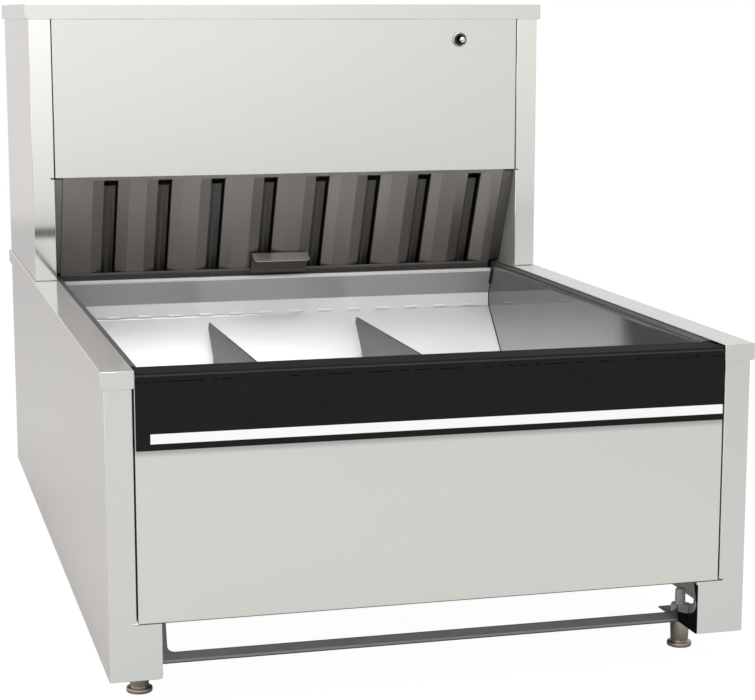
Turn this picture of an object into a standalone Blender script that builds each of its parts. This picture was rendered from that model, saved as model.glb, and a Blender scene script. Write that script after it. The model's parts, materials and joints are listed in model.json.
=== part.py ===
# Counter-top chip warmer: a steel base with an open bin, and a hood behind it that blows warm air.
# Metres, +Z up, +X to the right of someone facing the front, which looks along -Y.
# The origin is on the counter, under the middle of the whole.
from math import atan2, cos, pi, radians, sin, sqrt, tan

import bmesh
import bpy
from mathutils import Euler, Matrix, Vector

for stale in list(bpy.data.objects):
    bpy.data.objects.remove(stale, do_unlink=True)

# Fits and stock
sheet = 0.0012
fit = 0.0003
cut_overrun = 0.004

# Cabinet
body_width = 0.460
body_depth = 0.718
foot_height = 0.024
side_height = 0.2108
cap_overhang = 0.0023
hood_depth = 0.254
hood_setback = body_depth - hood_depth
half_width = body_width / 2
front = -body_depth / 2
rear = body_depth / 2
side_top = foot_height + side_height
rail_top = side_top + fit + sheet

# Side panels, with their posts and leg plates
post_width = 0.0188
leg_width = 0.036
leg_height = 0.039
leg_corner = 0.003
relief_length = 0.003
relief_height = 0.001
panel_bottom = foot_height + leg_height

# Rail caps
rail_width = 0.0225
rail_lip = 0.012

# Front panel and trim
panel_gap = 0.0012
panel_return = 0.016
trim_drop = 0.0019
trim_height = 0.0524
trim_ledge = 0.0265
trim_bend = 0.0016
trim_back_lip = 0.006
trim_inset = 0.0008
panel_half = half_width - post_width - panel_gap
trim_half = panel_half - trim_inset
trim_top = rail_top - trim_drop
trim_face = front - fit - sheet
trim_rear = trim_face + trim_ledge

# Bottom frame
frame_flange = 0.008
frame_outer_flange = 0.012
bracket_length = 0.0675
frame_gusset_depth = 0.0045
frame_gusset_corner = 0.006
cross_rail_setback = 0.0313
cross_rail_web = 0.014
frame_inner = half_width - leg_width

# Feet and their nuts
foot_inset_side = 0.0267
foot_inset_end = 0.050
foot_flange_radius = 0.00915
foot_flange_height = 0.0033
foot_edge_round = 0.0006
foot_neck_radius = 0.0060
foot_neck_height = 0.0008
foot_stem_radius = 0.0064
foot_top_radius = 0.0073
stud_radius = 0.0040
stud_length = 0.0200
nut_across_flats = 0.013
nut_height = 0.0065

# Bin: liners, pan and dividers
wall_depth = 0.026
bin_width = body_width - 2 * wall_depth
liner_start = 0.0265
liner_run_under_hood = 0.111
liner_end = hood_setback + liner_run_under_hood
liner_roll = 0.005
liner_flange = 0.013
floor_height = 0.0672
floor_flange = 0.006
pan_side_gap = 0.0005
pan_floor = 0.0972
pan_bend = 0.003
band_top_setback = 0.0425
band_top_depth = hood_setback + band_top_setback
band_top_drop = 0.0083
band_top_height = rail_top - band_top_drop
band_foot_setback = 0.053
band_foot_depth = hood_setback + band_foot_setback
band_foot_drop = 0.0313
band_foot_height = rail_top - band_foot_drop
louver_face_height = 0.013
hem_length = 0.006
hem_relief_width = 0.0012
hem_relief_height = 0.0145
pan_front_depth = 0.031
pan_front_drop = 0.0101
pan_front_height = rail_top - pan_front_drop
pan_front_lean = radians(30)
pan_front_flange = 0.011
louver_count = 14
louver_pitch_share = 0.0691
louver_pitch = bin_width * louver_pitch_share
louver_width = 0.0127
louver_slot = 0.0010
louver_hood_height = 0.0013
louver_hood_depth = 0.0007
support_width = 0.0185
support_height = 0.0155
support_setback = 0.112
support_length_share = 0.418
support_length = body_depth * support_length_share
divider_thickness = 0.0015
divider_spacing_share = 0.3417
divider_spacing = bin_width * divider_spacing_share
divider_drop = 0.0483
divider_top = rail_top - divider_drop
divider_hook_height = 0.007
divider_hook_run = 0.0036
divider_notch_depth = 0.0032
divider_notch_height = 0.0035
divider_corner = 0.006
tab_length = 0.009
tab_depth = 0.0022
tab_play = 0.0014
rear_tab_drop = 0.0863
rear_tab_height = rail_top - rear_tab_drop
floor_tab_depth = 0.200
bin_half = bin_width / 2
pan_half = bin_half - pan_side_gap
louver_face_foot = band_foot_height - louver_face_height

# Side insulation
wool_gap = 0.0008
wool_foot = 0.004
wool_setback = 0.012

# Hood casing
hood_side_height = 0.2372
hood_lid_lip = 0.013
hood_wall_gap = 0.018
hood_wall_length = hood_depth - hood_wall_gap
hood_panel_rise = 0.0897
hood_panel_bottom = rail_top + hood_panel_rise
hood_panel_gap = 0.0008
hood_panel_return = 0.012
back_inset = 0.0006
hood_front = front + hood_setback
hood_foot = rail_top + fit
hood_top = hood_foot + hood_side_height
hood_wall = half_width - post_width
service_half = hood_wall - hood_panel_gap
back_face = rear - sheet - fit
back_panel_half = half_width - sheet - back_inset

# Vents in the back of the hood
vent_count = 10
vent_pitch = 0.014
vent_width = 0.004
vent_height = 0.040
vent_drop = 0.0788
vent_foot = hood_top - vent_drop
vent_inset = 0.045
vent_first = vent_inset - half_width

# Hood deck and air baffle
deck_rise = 0.0997
deck_height = rail_top + deck_rise
deck_flange = 0.0075
deck_gap = 0.0128
deck_setback = hood_setback + deck_gap
return_depth = 0.121
baffle_setback = hood_setback + return_depth
baffle_flange = 0.015
ledge_step = 0.0462
ledge_setback = hood_setback + ledge_step
ledge_rise = 0.0001
ledge_height = band_top_height + ledge_rise
deck_half = hood_wall - fit

# Baffle filter
filter_left_gap = 0.0005
filter_right_gap = 0.003
filter_thickness = 0.016
filter_skin = 0.001
filter_setback = 0.049
filter_foot_depth = hood_setback + filter_setback
filter_lean = radians(25)
filter_bottom_rail = 0.0065
filter_top_rail = 0.0030
filter_side_rail = 0.008
slit_count = 8
slit_pitch_share = 0.1174
slit_pitch = bin_width * slit_pitch_share
slit_width = 0.0126
slit_inset_share = 0.1051
slit_inset = bin_width * slit_inset_share
baffle_rise = 0.0025
baffle_slope_run = 0.0100
baffle_return = 0.0035
rear_baffle_overlap = 0.005
rear_window_height = 0.006
guide_depth = 0.015
filter_foot_height = ledge_height + sheet + fit
filter_height = hood_panel_bottom - fit - filter_foot_height
filter_half_depth = (filter_thickness - fit) / 2
filter_left = filter_left_gap - bin_half
filter_right = bin_half - filter_right_gap
first_slit = filter_left + slit_inset

# Filter handle
handle_width = 0.0526
handle_centre = -0.0033
handle_foot = 0.0015
handle_height = 0.022
handle_reach = 0.014
handle_corner = 0.004

# Blower
blower_step = 0.081
blower_depth = hood_setback + blower_step
blower_inlet_radius = 0.036
scroll_start_radius = 0.060
scroll_end_radius = 0.085
scroll_start_angle = radians(60)
scroll_steps = 20
scroll_height = 0.052
outlet_end_step = 0.241
outlet_end_depth = hood_setback + outlet_end_step
outlet_hole_step = 0.181
outlet_hole_setback = hood_setback + outlet_hole_step
outlet_hole_margin = 0.004
wheel_radius = 0.050
wheel_height = 0.036
wheel_lift = 0.008
wheel_plate = 0.0015
wheel_ring_width = 0.008
wheel_hub_radius = 0.009
blade_count = 18
blade_thickness = 0.0012
blade_chord = 0.010
blade_angle = radians(35)
shaft_radius = 0.004
shaft_clearance = 0.0006
shaft_end = 0.020
motor_radius = 0.034
motor_height = 0.046
motor_edge = 0.003
motor_boss_radius = 0.012
motor_boss_height = 0.004

# Heating element
element_radius = 0.004
element_spacing_share = 0.1618
element_rod_spacing = bin_width * element_spacing_share
element_rods = 6
element_turn_steps = 6
element_step = 0.186
element_depth = hood_setback + element_step
element_foot_rise = 0.0137
element_foot = rail_top + element_foot_rise
element_head_rise = 0.0857
element_head = rail_top + element_head_rise
element_end_rise = 0.1157
element_end = rail_top + element_end_rise

# Controls on the deck
thermostat_size = (0.044, 0.044, 0.034)
control_inset = 0.080
thermostat_step = 0.076
thermostat_place = (control_inset - half_width, hood_setback + thermostat_step)
block_size = (0.060, 0.022, 0.018)
block_place = (half_width - control_inset, hood_setback + blower_step)
block_ways = 4
block_wall = 0.002
block_well_depth = 0.009
edge_round = 0.002

# Toggle switch
switch_inset = 0.0738
switch_across = half_width - switch_inset
switch_drop = 0.0297
switch_height = hood_top - switch_drop
neck_radius = 0.0051
neck_reach = 0.0022
neck_bore_radius = 0.0034
neck_bore_depth = 0.0080
switch_body_size = (0.014, 0.020, 0.026)
ring_radius = 0.0065
ring_height = 0.0024
ring_bevel = 0.0005
lever_root_radius = 0.0014
lever_tip_radius = 0.0026
lever_reach = 0.0120
lever_ball_radius = 0.0022
lever_pivot_inset = 0.0035

# Power inlet
inlet_across = half_width - control_inset
inlet_drop = 0.0958
inlet_height = hood_top - inlet_drop
inlet_flange = (0.034, 0.027)
inlet_flange_thickness = 0.0020
inlet_body = (0.0272, 0.0200)
inlet_body_depth = 0.024
inlet_recess = (0.0230, 0.0155)
inlet_recess_depth = 0.018
inlet_pin = (0.0020, 0.0040)
inlet_pin_length = 0.013
inlet_pin_spread = 0.0070


# Finishes
def finish(name, colour, roughness, metallic):
    made = bpy.data.materials.new(name)
    made.use_nodes = True
    shader = made.node_tree.nodes["Principled BSDF"]
    shader.inputs["Base Color"].default_value = (*colour, 1.0)
    shader.inputs["Roughness"].default_value = roughness
    shader.inputs["Metallic"].default_value = metallic
    return made


brushed = finish("brushed_steel", (0.62, 0.63, 0.60), 0.38, 1.0)
polished = finish("polished_steel", (0.72, 0.72, 0.72), 0.16, 1.0)
galvanised = finish("galvanised_steel", (0.42, 0.42, 0.42), 0.50, 1.0)
filter_steel = finish("filter_steel", (0.30, 0.28, 0.26), 0.40, 1.0)
black_paint = finish("black_paint", (0.020, 0.020, 0.020), 0.35, 0.0)
black_plastic = finish("black_plastic", (0.015, 0.015, 0.015), 0.45, 0.0)
zinc = finish("zinc_plate", (0.45, 0.41, 0.33), 0.42, 1.0)
chrome = finish("chrome", (0.80, 0.80, 0.80), 0.10, 1.0)
element_sheath = finish("element_sheath", (0.16, 0.14, 0.13), 0.55, 0.8)
wool = finish("mineral_wool", (0.55, 0.50, 0.36), 0.95, 0.0)
motor_paint = finish("motor_paint", (0.10, 0.10, 0.11), 0.50, 0.4)

parts = bpy.data.collections.new("chip_warmer")
cutters = bpy.data.collections.new("cutters")
bpy.context.scene.collection.children.link(parts)
bpy.context.scene.collection.children.link(cutters)


# Helpers for shapes
def place(name, mesh, material):
    """A visible piece from a mesh, with its one finish."""
    piece = bpy.data.objects.new(name, mesh)
    mesh.materials.append(material)
    parts.objects.link(piece)
    return piece


def helper(name, mesh):
    """A hidden solid that cuts or joins another."""
    tool = bpy.data.objects.new(name, mesh)
    tool.hide_render = True
    tool.display_type = "WIRE"
    cutters.objects.link(tool)
    return tool


def mesh_of(work, name):
    """A mesh from the bmesh, its faces turned outwards."""
    bmesh.ops.recalc_face_normals(work, faces=work.faces)
    mesh = bpy.data.meshes.new(name)
    work.to_mesh(mesh)
    work.free()
    return mesh


def block_mesh(name, low, high):
    """A box between two corners."""
    work = bmesh.new()
    bmesh.ops.create_cube(work, size=1.0)
    size = Vector(high) - Vector(low)
    middle = (Vector(high) + Vector(low)) / 2
    bmesh.ops.transform(work, matrix=Matrix.Translation(middle) @ Matrix.Diagonal((*size, 1.0)), verts=work.verts)
    return mesh_of(work, name)


def blocks_mesh(name, corners):
    """Several boxes that don't touch, as one mesh for a cutter."""
    work = bmesh.new()
    for low, high in corners:
        made = bmesh.ops.create_cube(work, size=1.0)
        size = Vector(high) - Vector(low)
        middle = (Vector(high) + Vector(low)) / 2
        matrix = Matrix.Translation(middle) @ Matrix.Diagonal((*size, 1.0))
        bmesh.ops.transform(work, matrix=matrix, verts=made["verts"])
    return mesh_of(work, name)


def cut(piece, tool):
    change = piece.modifiers.new(f"cut {tool.name}", "BOOLEAN")
    change.operation = "DIFFERENCE"
    change.object = tool


def join(piece, tool):
    change = piece.modifiers.new(f"join {tool.name}", "BOOLEAN")
    change.operation = "UNION"
    change.object = tool


def thicken(piece, thickness):
    """A sheet from an open surface: the metal lies behind the surface's faces."""
    change = piece.modifiers.new("sheet", "SOLIDIFY")
    change.thickness = thickness
    change.offset = -1.0
    change.use_even_offset = True


def bent(points, radius, steps):
    """A path with each inner corner replaced by an arc."""
    rounded = [Vector(points[0])]
    for before, corner, after in zip(points, points[1:], points[2:]):
        corner = Vector(corner)
        towards_start = (Vector(before) - corner).normalized()
        towards_end = (Vector(after) - corner).normalized()
        half_angle = towards_start.angle(towards_end) / 2
        reach = radius / tan(half_angle)
        centre = corner + (towards_start + towards_end).normalized() * radius / sin(half_angle)
        begin = corner + towards_start * reach - centre
        end = corner + towards_end * reach - centre
        sweep = atan2(begin.x * end.y - begin.y * end.x, begin.dot(end))
        for step in range(steps + 1):
            rounded.append(centre + Matrix.Rotation(sweep * step / steps, 2) @ begin)
    rounded.append(Vector(points[-1]))
    return rounded


def mirrored(path, side):
    """The path for the right side (1), or the same path turned over for the left side (-1)."""
    if side > 0:
        return list(path)
    return [(-point[0], point[1]) for point in reversed(path)]


def folded_mesh(name, path, start, end, axis):
    """An open surface: a path drawn along an axis. Its sheet lies on the left of the path.
    The path is (x, y) along Z, (y, z) along X, and (x, z) along Y."""
    if axis == "Y":
        start, end = end, start
    spots = {
        "X": lambda point, along: (along, point[0], point[1]),
        "Y": lambda point, along: (point[0], along, point[1]),
        "Z": lambda point, along: (point[0], point[1], along),
    }[axis]
    work = bmesh.new()
    rows = [[work.verts.new(spots(point, along)) for point in path] for along in (start, end)]
    for near, next_near, next_far, far in zip(rows[0], rows[0][1:], rows[1][1:], rows[1]):
        work.faces.new((near, next_near, next_far, far))
    mesh = bpy.data.meshes.new(name)
    work.to_mesh(mesh)
    work.free()
    return mesh


def folded(name, path, start, end, axis, material, thickness=sheet):
    piece = place(name, folded_mesh(name, path, start, end, axis), material)
    thicken(piece, thickness)
    return piece


def tray(name, low, high, open_sides, material):
    """A folded box of sheet, without the sides named by their outward directions."""
    work = bmesh.new()
    bmesh.ops.create_cube(work, size=1.0)
    size = Vector(high) - Vector(low)
    middle = (Vector(high) + Vector(low)) / 2
    bmesh.ops.transform(work, matrix=Matrix.Translation(middle) @ Matrix.Diagonal((*size, 1.0)), verts=work.verts)
    bmesh.ops.recalc_face_normals(work, faces=work.faces)
    gone = [face for face in work.faces for side in open_sides if face.normal.dot(Vector(side)) > sqrt(0.5)]
    bmesh.ops.delete(work, geom=gone, context="FACES")
    mesh = bpy.data.meshes.new(name)
    work.to_mesh(mesh)
    work.free()
    piece = place(name, mesh, material)
    thicken(piece, sheet)
    return piece


def outline_mesh(name, outlines, thickness, plane, middle):
    """A flat plate from closed outlines, holes included. Plane YZ is thick along X about
    the given middle, XZ along Y and XY along Z."""
    curve = bpy.data.curves.new(name, "CURVE")
    curve.dimensions = "2D"
    curve.fill_mode = "BOTH"
    curve.extrude = thickness / 2
    for points in outlines:
        spline = curve.splines.new("POLY")
        spline.points.add(len(points) - 1)
        for spot, point in zip(spline.points, points):
            spot.co = (point[0], point[1], 0, 1)
        spline.use_cyclic_u = True
    drawn = bpy.data.objects.new(name, curve)
    parts.objects.link(drawn)
    turn = {"XY": (0, 0, 0), "XZ": (pi / 2, 0, 0), "YZ": (pi / 2, 0, pi / 2)}[plane]
    shift = {"XY": (0, 0, middle), "XZ": (0, middle, 0), "YZ": (middle, 0, 0)}[plane]
    matrix = Matrix.Translation(shift) @ Euler(turn).to_matrix().to_4x4()
    bpy.context.view_layer.update()
    mesh = bpy.data.meshes.new_from_object(drawn.evaluated_get(bpy.context.evaluated_depsgraph_get()))
    bpy.data.objects.remove(drawn, do_unlink=True)
    work = bmesh.new()
    work.from_mesh(mesh)
    bmesh.ops.remove_doubles(work, verts=work.verts, dist=fit / 10)
    bmesh.ops.transform(work, matrix=matrix, verts=work.verts)
    mesh.materials.clear()
    return mesh_of(work, name)


def circle(radius, centre, steps, turn=0.0):
    return [
        (centre[0] + radius * cos(turn + 2 * pi * step / steps), centre[1] + radius * sin(turn + 2 * pi * step / steps))
        for step in range(steps)
    ]


def turned(name, profile, steps, material):
    """A turned piece about its own Z: the profile is (radius, height), from the top down its outer side."""
    work = bmesh.new()
    spots = [work.verts.new((radius, 0, height)) for radius, height in profile]
    for upper, lower in zip(spots, spots[1:]):
        work.edges.new((upper, lower))
    if profile[0][0] > 0:
        work.edges.new((spots[-1], spots[0]))
    mesh = bpy.data.meshes.new(name)
    work.to_mesh(mesh)
    work.free()
    piece = place(name, mesh, material)
    spin = piece.modifiers.new("turn", "SCREW")
    spin.steps = steps
    spin.render_steps = steps
    spin.use_merge_vertices = True
    spin.merge_threshold = 0.0001
    spin.use_smooth_shade = False
    return piece


def to_helper(piece):
    """Makes a helper of a piece that was drawn as a visible one."""
    parts.objects.unlink(piece)
    cutters.objects.link(piece)
    piece.hide_render = True
    piece.display_type = "WIRE"
    return piece


# Base: side panels with posts and leg plates
def side_panel(name, side):
    inner_leg = half_width - leg_width
    inner_post = half_width - post_width
    path = [(inner_leg, front), (half_width, front), (half_width, rear), (inner_post, rear)]
    panel = folded(name, mirrored(path, side), foot_height, side_top, "Z", brushed)
    outline = [
        (inner_post + relief_length, panel_bottom),
        (inner_post + relief_length, panel_bottom + relief_height),
        (inner_post, panel_bottom + relief_height),
        (inner_post, side_top + cut_overrun),
        (inner_leg - cut_overrun, side_top + cut_overrun),
        (inner_leg - cut_overrun, panel_bottom),
    ]
    notch = outline_mesh(f"{name} notch", [mirrored(outline, side)], 2 * cut_overrun, "XZ", front)
    cut(panel, helper(f"{name} notch", notch))
    centre = (inner_leg + leg_corner, foot_height + leg_corner)
    arc_steps = 6
    corner = [(inner_leg - cut_overrun, foot_height - cut_overrun), (centre[0], foot_height - cut_overrun)]
    for step in range(arc_steps + 1):
        angle = 1.5 * pi - 0.5 * pi * step / arc_steps
        corner.append((centre[0] + leg_corner * cos(angle), centre[1] + leg_corner * sin(angle)))
    corner.append((inner_leg - cut_overrun, centre[1]))
    rounding = outline_mesh(f"{name} corner", [mirrored(corner, side)], 2 * cut_overrun, "XZ", front)
    cut(panel, helper(f"{name} corner", rounding))


# Base: rail caps, folded down outside and in front
def rail_cap(name, side):
    outer = half_width + cap_overhang
    across = sorted((side * (outer - rail_width), side * outer))
    low = (across[0], front - cap_overhang, rail_top - rail_lip)
    high = (across[1], rear, rail_top)
    tray(name, low, high, [(0, 0, -1), (-side, 0, 0), (0, 1, 0)], brushed)


# Base: front panel and the black trim over its top
def front_panel():
    high = (panel_half, front + panel_return, trim_top - sheet - fit)
    tray("front_panel", (-panel_half, front, panel_bottom), high, [(0, 1, 0)], brushed)


def front_trim():
    path = [
        (trim_face, trim_top - trim_height),
        (trim_face, trim_top),
        (trim_rear, trim_top),
        (trim_rear, trim_top - trim_back_lip),
    ]
    rounded = bent(path, trim_bend, 4)
    folded("front_trim", list(reversed(rounded)), -trim_half, trim_half, "X", black_paint)


# Base: bottom frame of a bracket in each corner and two cross rails between them
def foot_bracket(name, side, end):
    """A plate for the foot with a flange against the side panel, and a low flange with a
    rounded gusset that meets the cross rail. End is 1 at the rear and -1 in front."""
    outer = half_width - sheet - fit
    path = [(frame_inner, foot_height), (outer, foot_height), (outer, foot_height + frame_outer_flange)]
    outside = end * (rear - sheet - fit)
    inside = outside - end * bracket_length
    bracket = folded(name, mirrored(path, side), min(outside, inside), max(outside, inside), "Y", galvanised)
    arc_steps = 4
    flange_end = end * (rear - cross_rail_setback)
    gusset_edge = outside - end * frame_gusset_depth
    flange_top = foot_height + frame_flange
    outline = [(outside, foot_height), (flange_end, foot_height), (flange_end, flange_top)]
    centre = (gusset_edge - end * frame_gusset_corner, flange_top + frame_gusset_corner)
    for step in range(arc_steps + 1):
        angle = -0.5 * pi + 0.5 * pi * step / arc_steps
        outline.append(
            (centre[0] + end * frame_gusset_corner * cos(angle), centre[1] + frame_gusset_corner * sin(angle))
        )
    gusset_top = floor_height - floor_flange - fit
    outline += [(gusset_edge, gusset_top), (outside, gusset_top)]
    flange = outline_mesh(f"{name} flange", [outline], sheet, "YZ", side * (frame_inner + sheet / 2))
    join(bracket, helper(f"{name} flange", flange))
    spot = (side * (half_width - foot_inset_side), end * (rear - foot_inset_end))
    hole = outline_mesh(f"{name} hole", [circle(stud_radius + fit, spot, 16)], 2 * cut_overrun, "XY", foot_height)
    cut(bracket, helper(f"{name} hole", hole))


def cross_rail(name, end):
    """A rail with a rounded gusset at each end. End is 1 for the rear rail and -1 for the
    front one."""
    face = end * (rear - cross_rail_setback)
    half = frame_inner - fit
    corner = frame_gusset_corner
    top = foot_height + frame_flange
    arc_steps = 4
    outline = [(-half, foot_height), (half, foot_height), (half, top + corner)]
    for step in range(1, arc_steps + 1):
        angle = -0.5 * pi * step / arc_steps
        outline.append((half - corner + corner * cos(angle), top + corner + corner * sin(angle)))
    outline += [(-x, z) for x, z in reversed(outline[2:])]
    rail = place(name, outline_mesh(name, [outline], sheet, "XZ", face - end * sheet / 2), galvanised)
    reach = sorted((face, face - end * cross_rail_web))
    web = block_mesh(f"{name} web", (-half, reach[0], foot_height), (half, reach[1], foot_height + sheet))
    join(rail, helper(f"{name} web", web))


# Base: feet that screw into nuts on the brackets
def foot(name, x, y):
    shoulder = foot_height - fit
    neck = foot_flange_height + foot_neck_height
    profile = [
        (0, shoulder + stud_length),
        (stud_radius, shoulder + stud_length),
        (stud_radius, shoulder),
        (foot_top_radius, shoulder),
        (foot_stem_radius, neck),
        (foot_neck_radius, neck),
        (foot_neck_radius, foot_flange_height),
        (foot_flange_radius - foot_edge_round, foot_flange_height),
        (foot_flange_radius, foot_flange_height - foot_edge_round),
        (foot_flange_radius, foot_edge_round),
        (foot_flange_radius - foot_edge_round, 0),
        (0, 0),
    ]
    made = turned(name, profile, 20, zinc)
    made.location = (x, y, 0)


def foot_nut(name, x, y):
    hexagon = circle(nut_across_flats / 2 / cos(pi / 6), (x, y), 6)
    bore = circle(stud_radius + fit, (x, y), 16)
    low = foot_height + sheet + fit
    place(name, outline_mesh(name, [hexagon, bore], nut_height, "XY", low + nut_height / 2), zinc)


# Base: floor and back
def base_floor():
    half = half_width - sheet - fit
    low = (-half, front + panel_return + 2 * fit, floor_height - floor_flange)
    high = (half, back_face - sheet - fit, floor_height)
    tray("base_floor", low, high, [(0, 0, -1)], galvanised)


def base_back_panel():
    low = (-back_panel_half, back_face - sheet, panel_bottom)
    high = (back_panel_half, back_face, side_top)
    place("base_back_panel", block_mesh("base_back_panel", low, high), brushed)


# Bin: polished liners, rolled out at the top and tucked under the rail caps
def liner(name, side):
    low = floor_height + fit
    top = side_top
    path = [(bin_half, low), (bin_half, top - liner_roll)]
    roll_steps = 5
    for step in range(1, roll_steps + 1):
        angle = pi - 0.5 * pi * step / roll_steps
        path.append((bin_half + liner_roll + liner_roll * cos(angle), top - liner_roll + liner_roll * sin(angle)))
    path.append((bin_half + liner_roll + liner_flange, top))
    path.reverse()
    folded(name, mirrored(path, side), front + liner_start, front + liner_end, "Y", polished)


def slope_spot(height):
    """Depth of the pan's rear slope, which falls at 45 degrees, at a height."""
    return front + band_foot_depth - (louver_face_foot - height)


def front_slope_spot(height):
    """Depth of the pan's leaning front wall at a height."""
    return front + pan_front_depth + (pan_front_height - height) * tan(pan_front_lean)


# Bin: product pan with its hemmed band, louvers, slope, floor and leaning front
def product_pan():
    band_top = Vector((front + band_top_depth, band_top_height))
    band_foot = Vector((front + band_foot_depth, band_foot_height))
    down_band = (band_foot - band_top).normalized()
    behind_band = Vector((-down_band.y, down_band.x))
    hem_top = band_top + behind_band * (2 * sheet + fit)
    hem_end = hem_top + down_band * hem_length
    corners = [
        band_top,
        band_foot,
        (front + band_foot_depth, louver_face_foot),
        (slope_spot(pan_floor), pan_floor),
        (front_slope_spot(pan_floor), pan_floor),
        (front + pan_front_depth, pan_front_height),
        (front + pan_front_depth - pan_front_flange, pan_front_height),
    ]
    path = [hem_end, hem_top] + bent(corners, pan_bend, 3)
    pan = folded("product_pan", path, -pan_half, pan_half, "X", polished)
    slot_foot = louver_face_foot + louver_slot / 2
    face = front + band_foot_depth
    slots = []
    hoods = bmesh.new()
    for number in range(louver_count):
        middle = (number - (louver_count - 1) / 2) * louver_pitch
        left = middle - louver_width / 2
        right = middle + louver_width / 2
        slots.append(((left, face - cut_overrun, slot_foot), (right, face + cut_overrun, slot_foot + louver_slot)))
        lip = slot_foot + louver_slot
        section = [
            (face + sheet / 2, lip),
            (face - louver_hood_depth, lip),
            (face - fit, lip + louver_hood_height),
            (face + sheet / 2, lip + louver_hood_height),
        ]
        rows = [[hoods.verts.new((x, y, z)) for y, z in section] for x in (left, right)]
        hoods.faces.new(rows[0])
        hoods.faces.new(list(reversed(rows[1])))
        for index in range(len(section)):
            following = (index + 1) % len(section)
            hoods.faces.new((rows[0][index], rows[1][index], rows[1][following], rows[0][following]))
    join(pan, helper("louver hoods", mesh_of(hoods, "louver hoods")))
    cut(pan, helper("louver slots", blocks_mesh("louver slots", slots)))
    reliefs = []
    relief_foot = band_top_height - hem_relief_height
    for side in (-1, 1):
        across = sorted((side * (pan_half - hem_relief_width), side * (pan_half + cut_overrun)))
        low = (across[0], band_top.x - cut_overrun, relief_foot)
        high = (across[1], band_foot.x + cut_overrun, band_top_height + cut_overrun)
        reliefs.append((low, high))
    cut(pan, helper("hem reliefs", blocks_mesh("hem reliefs", reliefs)))
    cut(pan, helper("floor tab slots", floor_slots_mesh()))
    for side in (-1, 1):
        cut(pan, rear_slot(f"rear tab slot {side}", side))


def slot_half():
    return divider_thickness / 2 + fit


def floor_slots_mesh():
    corners = []
    for side in (-1, 1):
        middle = side * divider_spacing / 2
        low = (middle - slot_half(), front + floor_tab_depth - tab_play, pan_floor - cut_overrun)
        high = (middle + slot_half(), front + floor_tab_depth + tab_length + fit, pan_floor + cut_overrun)
        corners.append((low, high))
    return blocks_mesh("floor tab slots", corners)


def rear_slot(name, side):
    """A slot square to the pan's slope, with play above the tab."""
    mesh = block_mesh(
        name,
        (-slot_half(), -fit, -cut_overrun),
        (slot_half(), tab_length + tab_play, cut_overrun),
    )
    tool = helper(name, mesh)
    tool.location = (side * divider_spacing / 2, slope_spot(rear_tab_height), rear_tab_height)
    tool.rotation_euler = (pi / 4, 0, 0)
    return tool


# Bin: dividers, hooked and tabbed into the pan
def divider(name, side):
    back_gap = fit * sqrt(2)
    front_gap = fit / cos(pan_front_lean)
    hook_foot = divider_top - divider_hook_height
    notch_foot = hook_foot - divider_notch_height
    floor = pan_floor + fit

    def rear_edge(height):
        return slope_spot(height) - back_gap

    along = sqrt(0.5)
    tab_start = Vector((rear_edge(rear_tab_height), rear_tab_height))
    tab_end = tab_start + Vector((along, along)) * tab_length
    out = Vector((along, -along)) * tab_depth
    bottom_corner_rear = (rear_edge(floor), floor)
    bottom_corner_front = (front_slope_spot(floor) + front_gap, floor)
    lower = bent(
        [tab_start, bottom_corner_rear, (front + floor_tab_depth + tab_length, floor)], divider_corner, 4
    )
    tab = [
        (front + floor_tab_depth + tab_length, floor - tab_depth),
        (front + floor_tab_depth, floor - tab_depth),
        (front + floor_tab_depth, floor),
    ]
    upper_front = (front_slope_spot(divider_top) + front_gap, divider_top)
    forward = bent([tab[-1], bottom_corner_front, upper_front], divider_corner, 4)
    outline = [
        upper_front,
        (rear_edge(hook_foot) - divider_hook_run, divider_top),
        (rear_edge(hook_foot), hook_foot),
        (rear_edge(hook_foot) - divider_notch_depth, hook_foot),
        (rear_edge(notch_foot) - divider_notch_depth, notch_foot),
        (rear_edge(notch_foot), notch_foot),
        tab_end,
        tab_end + out,
        tab_start + out,
        *lower,
        *tab[:-1],
        *forward[:-1],
    ]
    mesh = outline_mesh(name, [outline], divider_thickness, "YZ", side * divider_spacing / 2)
    place(name, mesh, polished)


def pan_support(name, side):
    outer = bin_half - fit
    top = pan_floor - sheet - fit
    path = [(outer, top - support_height), (outer, top), (outer - support_width, top)]
    start = front + support_setback
    folded(name, mirrored(path, side), start, start + support_length, "Y", galvanised)


# Base: mineral wool between each liner and its side panel
def insulation(name, side):
    inner = bin_half + sheet + wool_gap
    outer = half_width - sheet - wool_gap
    across = sorted((side * inner, side * outer))
    low = (across[0], front + liner_start + wool_setback, floor_height + fit)
    high = (across[1], front + liner_end, side_top - liner_roll - sheet - wool_foot)
    place(name, block_mesh(name, low, high), wool)


# Hood: double side walls with the posts
def hood_side(name, side):
    path = [
        (hood_wall, hood_front + hood_wall_length),
        (hood_wall, hood_front),
        (half_width, hood_front),
        (half_width, rear),
        (hood_wall, rear),
    ]
    wall = folded(name, mirrored(path, side), hood_foot, hood_top, "Z", brushed)
    across = sorted((side * (hood_wall - cut_overrun), side * (hood_wall + relief_length)))
    low = (across[0], hood_front - cut_overrun, hood_panel_bottom - relief_height)
    high = (across[1], hood_front + 2 * sheet, hood_panel_bottom)
    cut(wall, helper(f"{name} relief", block_mesh(f"{name} relief", low, high)))


def hood_cap():
    outer = half_width + cap_overhang
    top = hood_top + fit + sheet
    low = (-outer, hood_front - cap_overhang, top - hood_lid_lip)
    tray("hood_cap", low, (outer, rear + cap_overhang, top), [(0, 0, -1)], brushed)


def service_panel():
    high = (service_half, hood_front + hood_panel_return, hood_top)
    low = (-service_half, hood_front, hood_panel_bottom)
    panel = tray("service_panel", low, high, [(0, 1, 0), (0, 0, -1)], brushed)
    hole = outline_mesh(
        "switch hole", [circle(neck_radius + fit, (switch_across, switch_height), 24)], 2 * cut_overrun, "XZ", hood_front
    )
    cut(panel, helper("switch hole", hole))


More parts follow.
